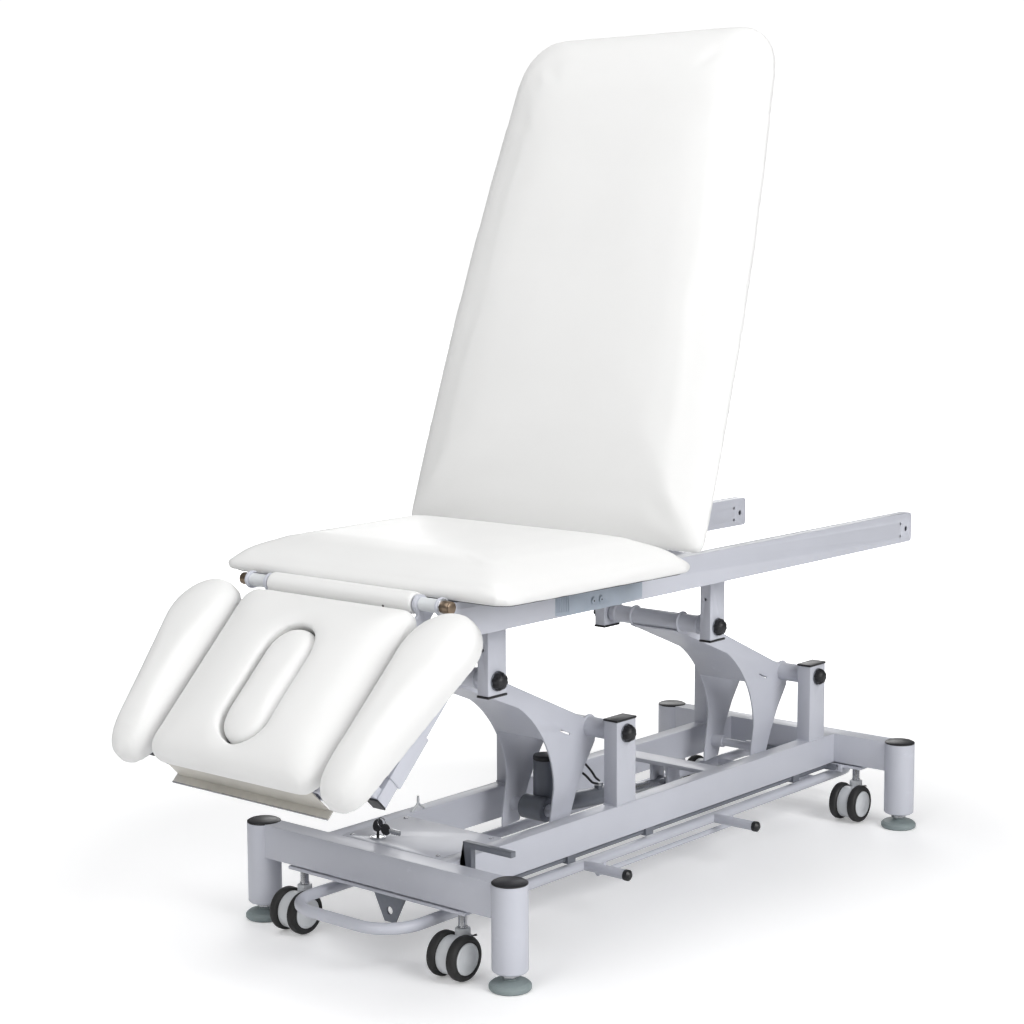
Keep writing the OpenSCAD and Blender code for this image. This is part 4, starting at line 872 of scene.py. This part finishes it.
GEAR = (0.0259, -0.09095, 0.16199)
GEAR_SCREWS = 3
GEAR_SCREW_CIRCLE = 0.0155
GEAR_SCREW_OUT = 0.0277
REST_TUBE = (0.262, 0.3288, -0.045)
REST_CAP_HALF = (0.0125, 0.0016, 0.0125)
LIP_HALF = 0.178
LIP_AHEAD = (0.3668, 0.3648)
LIP_BELOW = (0.0606, 0.0574)
ROLL_DOT = ((0.105, 0.0160, 0.0052), (0.105, 0.0180, 0.0058))
KEY_Y = -0.4520
BLADE_X = (-0.0245, 0.0005)
BLADE_Z = (0.1906, 0.1984)
BLADE_HALF = 0.0017
TEETH = 4
TOOTH_FIRST = -0.020
TOOTH_STEP = 0.0055
TOOTH_LONG = 0.003
TOOTH_Z = (0.1890, 0.1910)
TOOTH_HALF = 0.0013
KEY_RING = (-0.0430, KEY_Y, 0.2045)
LOCK_FACE = (-0.0520, KEY_Y, 0.1790)
CLIP_X = -0.119
CLIP_MIDDLE = -0.279
CLIP_FEET = (-0.262, -0.297)
CLIP_Z = (0.1775, 0.192, 0.203)

# Outlines of the turned pieces, as radius and height in turn
CAP_NUT = [(0.0150, 0), (0.0160, 0.0010), (0.0160, 0.0072), (0.0146, 0.0104), (0.0118, 0.0138),
           (0.0078, 0.0160), (0.0030, 0.0168)]
AXLE_WASHER = [(0.0172, 0), (0.0172, 0.0012), (0.015, 0.0016)]
HUB = [(0.0264, 0), (0.0264, 0.0022), (0.0236, 0.0030), (0.0226, 0.0022), (0.0105, 0.0030), (0.0095, 0.0038),
       (0.003, 0.0042)]
COLLAR = [(0.0124, 0), (0.0130, 0.0006), (0.0130, 0.0138), (0.0118, 0.0148)]
STEM = [(0.0080, 0), (0.0080, 0.0035), (0.0073, 0.0040), (0.0073, 0.0262)]
FOOT_DOME = [(0.0318, 0), (0.0300, 0.0016), (0.0170, 0.0030), (0.0150, 0.0046), (0.0118, 0.0052)]
FOOT_NUT = [(0.0145, 0), (0.0145, 0.0062)]
HINGE_WASHER = [(0.0135, 0), (0.0135, 0.0014), (0.0120, 0.0018)]
HINGE_BOLT_CAP = [(0.0106, 0), (0.0106, 0.0150), (0.0094, 0.0186), (0.0050, 0.0196)]
COVER_SCREW = [(0.0042, 0), (0.0040, 0.0010), (0.0022, 0.0016), (0.0018, 0.0009)]
BUTTON_DOT = [(0.0016, 0), (0.0013, 0.0005)]
MOTOR_SLEEVE = [(0.0212, 0), (0.0216, 0.0006), (0.0216, 0.0970), (0.0212, 0.0976)]
MOTOR_END = [(0.0206, 0), (0.0219, 0.0012), (0.0219, 0.0072), (0.0200, 0.0096), (0.0080, 0.0104)]
GEAR_COVER = [(0.0205, 0), (0.0205, 0.0014), (0.0185, 0.0020), (0.0120, 0.0020)]
GEAR_SCREW = [(0.0019, 0), (0.0017, 0.0011), (0.0008, 0.0013)]


def across(side, near, far):
    """Two distances from the middle as low and high X on one side."""
    return sorted((side * near, side * far))


class CHAIR_OT_pivots(bpy.types.Operator):
    """Adds the cap nuts and washers of the arms' axles, and the weld beads of the posts and hangers."""

    bl_idname = "chair.pivots"
    bl_label = "Pivots and welds"

    def execute(self, context):
        axles = [(POST_OUT, y, POST_PIVOT_Z, "base") for y in POST_Y]
        axles += [(HANGER_OUT, y, HANGER_PIVOT_Z, "top_frame") for y in HANGER_Y]
        for number, (x, y, z, body) in enumerate(axles):
            for side, word in SIDES:
                place = (side * x, y, z)
                out = (side, 0, 0)
                stack(f"cap_nut_{number}_{word}", CAP_NUT, place, out, "black_plastic", body,
                      sides=48, lobes=8, lobe=0.90, bevel=0.0002)
                stack(f"axle_washer_{number}_{word}", AXLE_WASHER, place, out, "dark_steel", body, sides=48)
        for side, word in SIDES:
            for number, y in enumerate(POST_Y):
                bead_round(f"post_weld_{number}_{word}", across(side, POST_IN, POST_OUT),
                           (y - POST_HALF, y + POST_HALF), POST_WELD_Z, "base")
            for number, y in enumerate(HANGER_Y):
                bead_round(f"hanger_weld_{number}_{word}", across(side, HANGER_IN, HANGER_OUT),
                           (y - HANGER_HALF, y + HANGER_HALF), HANGER_WELD_Z, "top_frame")
        return {"FINISHED"}


class CHAIR_OT_castors(bpy.types.Operator):
    """Adds the castors' hubs, collars and stems, and the feet's domes, nuts and rings."""

    bl_idname = "chair.castors"
    bl_label = "Castors and feet"

    def execute(self, context):
        for end, y in ENDS:
            for side, word in SIDES:
                corner = f"{end}_{word}"
                castor = f"castor_{corner}"
                foot = f"foot_{corner}"
                x = side * CASTOR_X
                leg = side * LEG_X
                for out in (1, -1):
                    face = "out" if out == side else "in"
                    place = (x + out * WHEEL_FACE, y - WHEEL_BACK, WHEEL_Z)
                    stack(f"hub_{corner}_{face}", HUB, place, (out, 0, 0), "white_plastic",
                          castor + "_wheels", sides=48)
                stack(f"collar_{corner}", COLLAR, (x, y, COLLAR_Z), UP, "white_plastic", castor,
                      sides=72, lobes=24, lobe=0.95, bevel=0.0002)
                stack(f"stem_{corner}", STEM, (x, y, STEM_Z), UP, "bright_steel", castor, sides=36)
                stack(f"foot_dome_{corner}", FOOT_DOME, (leg, y, FOOT_DOME_Z), UP, "foot_plastic", foot,
                      sides=64)
                stack(f"foot_nut_{corner}", FOOT_NUT, (leg, y, FOOT_NUT_Z), UP, "bright_steel", foot,
                      sides=6, bevel=0.0008)
                ring_of(f"cap_ring_{corner}", (leg, y, LEG_TOP), UP, 0.0235, 0.0010, "black_plastic", "base")
        return {"FINISHED"}


class CHAIR_OT_control(bpy.types.Operator):
    """Adds the rings and dots of the hand control's buttons, and the ribs of its sloped end."""

    bl_idname = "chair.control"
    bl_label = "Hand control"

    def execute(self, context):
        for number, (button, y) in enumerate(BUTTONS):
            ring_of(f"button_ring_{number}", (CONTROL_FACE, y, BUTTON_Z), RIGHT, 0.0070, 0.0014,
                    "pale_plastic", "top_frame")
            stack(f"button_dot_{number}", BUTTON_DOT, (BUTTON_FACE, y, BUTTON_Z), RIGHT, "black_plastic",
                  button, sides=20)
        half = Vector(RIB_HALF)
        turn = Matrix.Rotation(CONTROL_TURN, 4, "Z")
        for number in range(RIBS):
            share = RIB_FIRST + number * RIB_STEP
            slope = Vector((CONTROL_SLOPE[0] * share, CONTROL_SLOPE[1] * share, 0))
            place = Vector(CONTROL_START) + slope
            slab(f"control_rib_{number}", place - half, place + half, "pale_plastic", "top_frame", 0.0005,
                 turn, place)
        return {"FINISHED"}


class CHAIR_OT_hinge(bpy.types.Operator):
    """Adds the front hinge's washers and bolt heads, the tray's lip, the tubes' caps and the roll's dot."""

    bl_idname = "chair.hinge"
    bl_label = "Front hinge and rail"

    def execute(self, context):
        hinge = FRONT_HINGE
        turn = Matrix.Rotation(FRONT_ANGLE, 4, "X")
        half = Vector(REST_CAP_HALF)
        for side, word in SIDES:
            place = (side * RAIL_OUT, hinge.y, hinge.z)
            stack(f"hinge_washer_{word}", HINGE_WASHER, place, (side, 0, 0), "bright_steel", "top_frame",
                  sides=48)
            stack(f"hinge_bolt_cap_{word}", HINGE_BOLT_CAP, place, (side, 0, 0), "bolt", "top_frame",
                  sides=36, lobes=6, lobe=0.965)
        low = (-LIP_HALF, hinge.y - LIP_AHEAD[0], hinge.z - LIP_BELOW[0])
        high = (LIP_HALF, hinge.y - LIP_AHEAD[1], hinge.z - LIP_BELOW[1])
        slab("tray_lip", low, high, "bright_steel", "front_section", 0.0005, turn, hinge)
        for side, word in SIDES:
            out, along, over = REST_TUBE
            place = in_front(side * out, along, over)
            slab(f"rest_tube_cap_{word}", place - half, place + half, "black_plastic", f"armrest_{word}",
                 0.0008, turn, place)
        line_of("roll_dot", [in_front(*place) for place in ROLL_DOT], 0.004, "black_plastic", "front_section",
                smooth=False)
        return {"FINISHED"}


class CHAIR_OT_drive(bpy.types.Operator):
    """Adds the lift motor's sleeve and end, and the covers and screws of its gear housing."""

    bl_idname = "chair.drive"
    bl_label = "Lift motor"

    def execute(self, context):
        stack("motor_sleeve", MOTOR_SLEEVE, (0, MOTOR_Y, MOTOR_SLEEVE_Z), UP, "dark_steel", "lift_motor",
              sides=64)
        stack("motor_end", MOTOR_END, (0, MOTOR_Y, MOTOR_END_Z), UP, "black_plastic", "lift_motor", sides=64)
        x, y, z = GEAR
        for side, word in SIDES:
            out = (side, 0, 0)
            stack(f"gear_cover_{word}", GEAR_COVER, (side * x, y, z), out, "dark_steel", "lift_motor",
                  sides=48)
            for number in range(GEAR_SCREWS):
                angle = math.radians(30 + 120 * number)
                ahead = GEAR_SCREW_CIRCLE * math.cos(angle)
                over = GEAR_SCREW_CIRCLE * math.sin(angle)
                place = (side * GEAR_SCREW_OUT, y + ahead, z + over)
                stack(f"gear_screw_{word}_{number}", GEAR_SCREW, place, out, "bright_steel", "lift_motor",
                      sides=16)
        return {"FINISHED"}


class CHAIR_OT_plate(bpy.types.Operator):
    """Adds the cover plate's screws, the lock's face, the keys' blade, teeth and ring, and the cable clip."""

    bl_idname = "chair.plate"
    bl_label = "Cover plate and keys"

    def execute(self, context):
        for number, (x, y) in enumerate(COVER_SCREWS):
            stack(f"cover_screw_{number}", COVER_SCREW, (x, y, PLATE_TOP), UP, "bright_steel", "base",
                  sides=32)
        slab("key_blade", (BLADE_X[0], KEY_Y - BLADE_HALF, BLADE_Z[0]),
             (BLADE_X[1], KEY_Y + BLADE_HALF, BLADE_Z[1]), "bright_steel", "key", 0.0006)
        for number in range(TEETH):
            x = TOOTH_FIRST + number * TOOTH_STEP
            slab(f"key_tooth_{number}", (x, KEY_Y - TOOTH_HALF, TOOTH_Z[0]),
                 (x + TOOTH_LONG, KEY_Y + TOOTH_HALF, TOOTH_Z[1]), "bright_steel", "key", 0.0005)
        ring_of("key_ring", KEY_RING, (0, 1, 0), 0.0090, 0.0022, "bright_steel", "key")
        ring_of("lock_face", LOCK_FACE, UP, 0.0112, 0.0016, "bright_steel", "base")
        foot_z, knee_z, tip_z = CLIP_Z
        for number, foot_y in enumerate(CLIP_FEET):
            points = [(CLIP_X, foot_y, foot_z), (CLIP_X, CLIP_MIDDLE, knee_z), (CLIP_X, CLIP_MIDDLE, tip_z)]
            line_of(f"cable_clip_{number}", points, 0.0042, "white_plastic", "base")
        return {"FINISHED"}


class CHAIR_PT_panel(bpy.types.Panel):
    """Lists the chair's groups of pieces and their settings."""

    bl_label = "Treatment chair"
    bl_idname = "CHAIR_PT_panel"
    bl_space_type = "VIEW_3D"
    bl_region_type = "UI"
    bl_category = "Chair"

    def draw(self, context):
        for name in STEPS:
            self.layout.operator("chair." + name)
        for group_of in (context.scene.chair_colours, context.scene.chair_sizes):
            for key in group_of.__annotations__:
                self.layout.prop(group_of, key)


STEPS = ["finishes", "stage", "metalwork", "pivots", "castors", "control", "hinge", "drive", "plate", "pads"]
CLASSES = [ChairColours, ChairSizes, CHAIR_OT_finishes, CHAIR_OT_stage, CHAIR_OT_metalwork, CHAIR_OT_pivots,
           CHAIR_OT_castors, CHAIR_OT_control, CHAIR_OT_hinge, CHAIR_OT_drive, CHAIR_OT_plate, CHAIR_OT_pads,
           CHAIR_PT_panel]


def register():
    """Registers the classes and their settings."""
    for item in CLASSES:
        bpy.utils.register_class(item)
    bpy.types.Scene.chair_colours = bpy.props.PointerProperty(type=ChairColours)
    bpy.types.Scene.chair_sizes = bpy.props.PointerProperty(type=ChairSizes)


def unregister():
    """Takes them out again."""
    del bpy.types.Scene.chair_sizes
    del bpy.types.Scene.chair_colours
    for item in reversed(CLASSES):
        bpy.utils.unregister_class(item)


def main():
    register()
    for name in STEPS:
        getattr(bpy.ops.chair, name)()


if __name__ == "__main__":
    main()
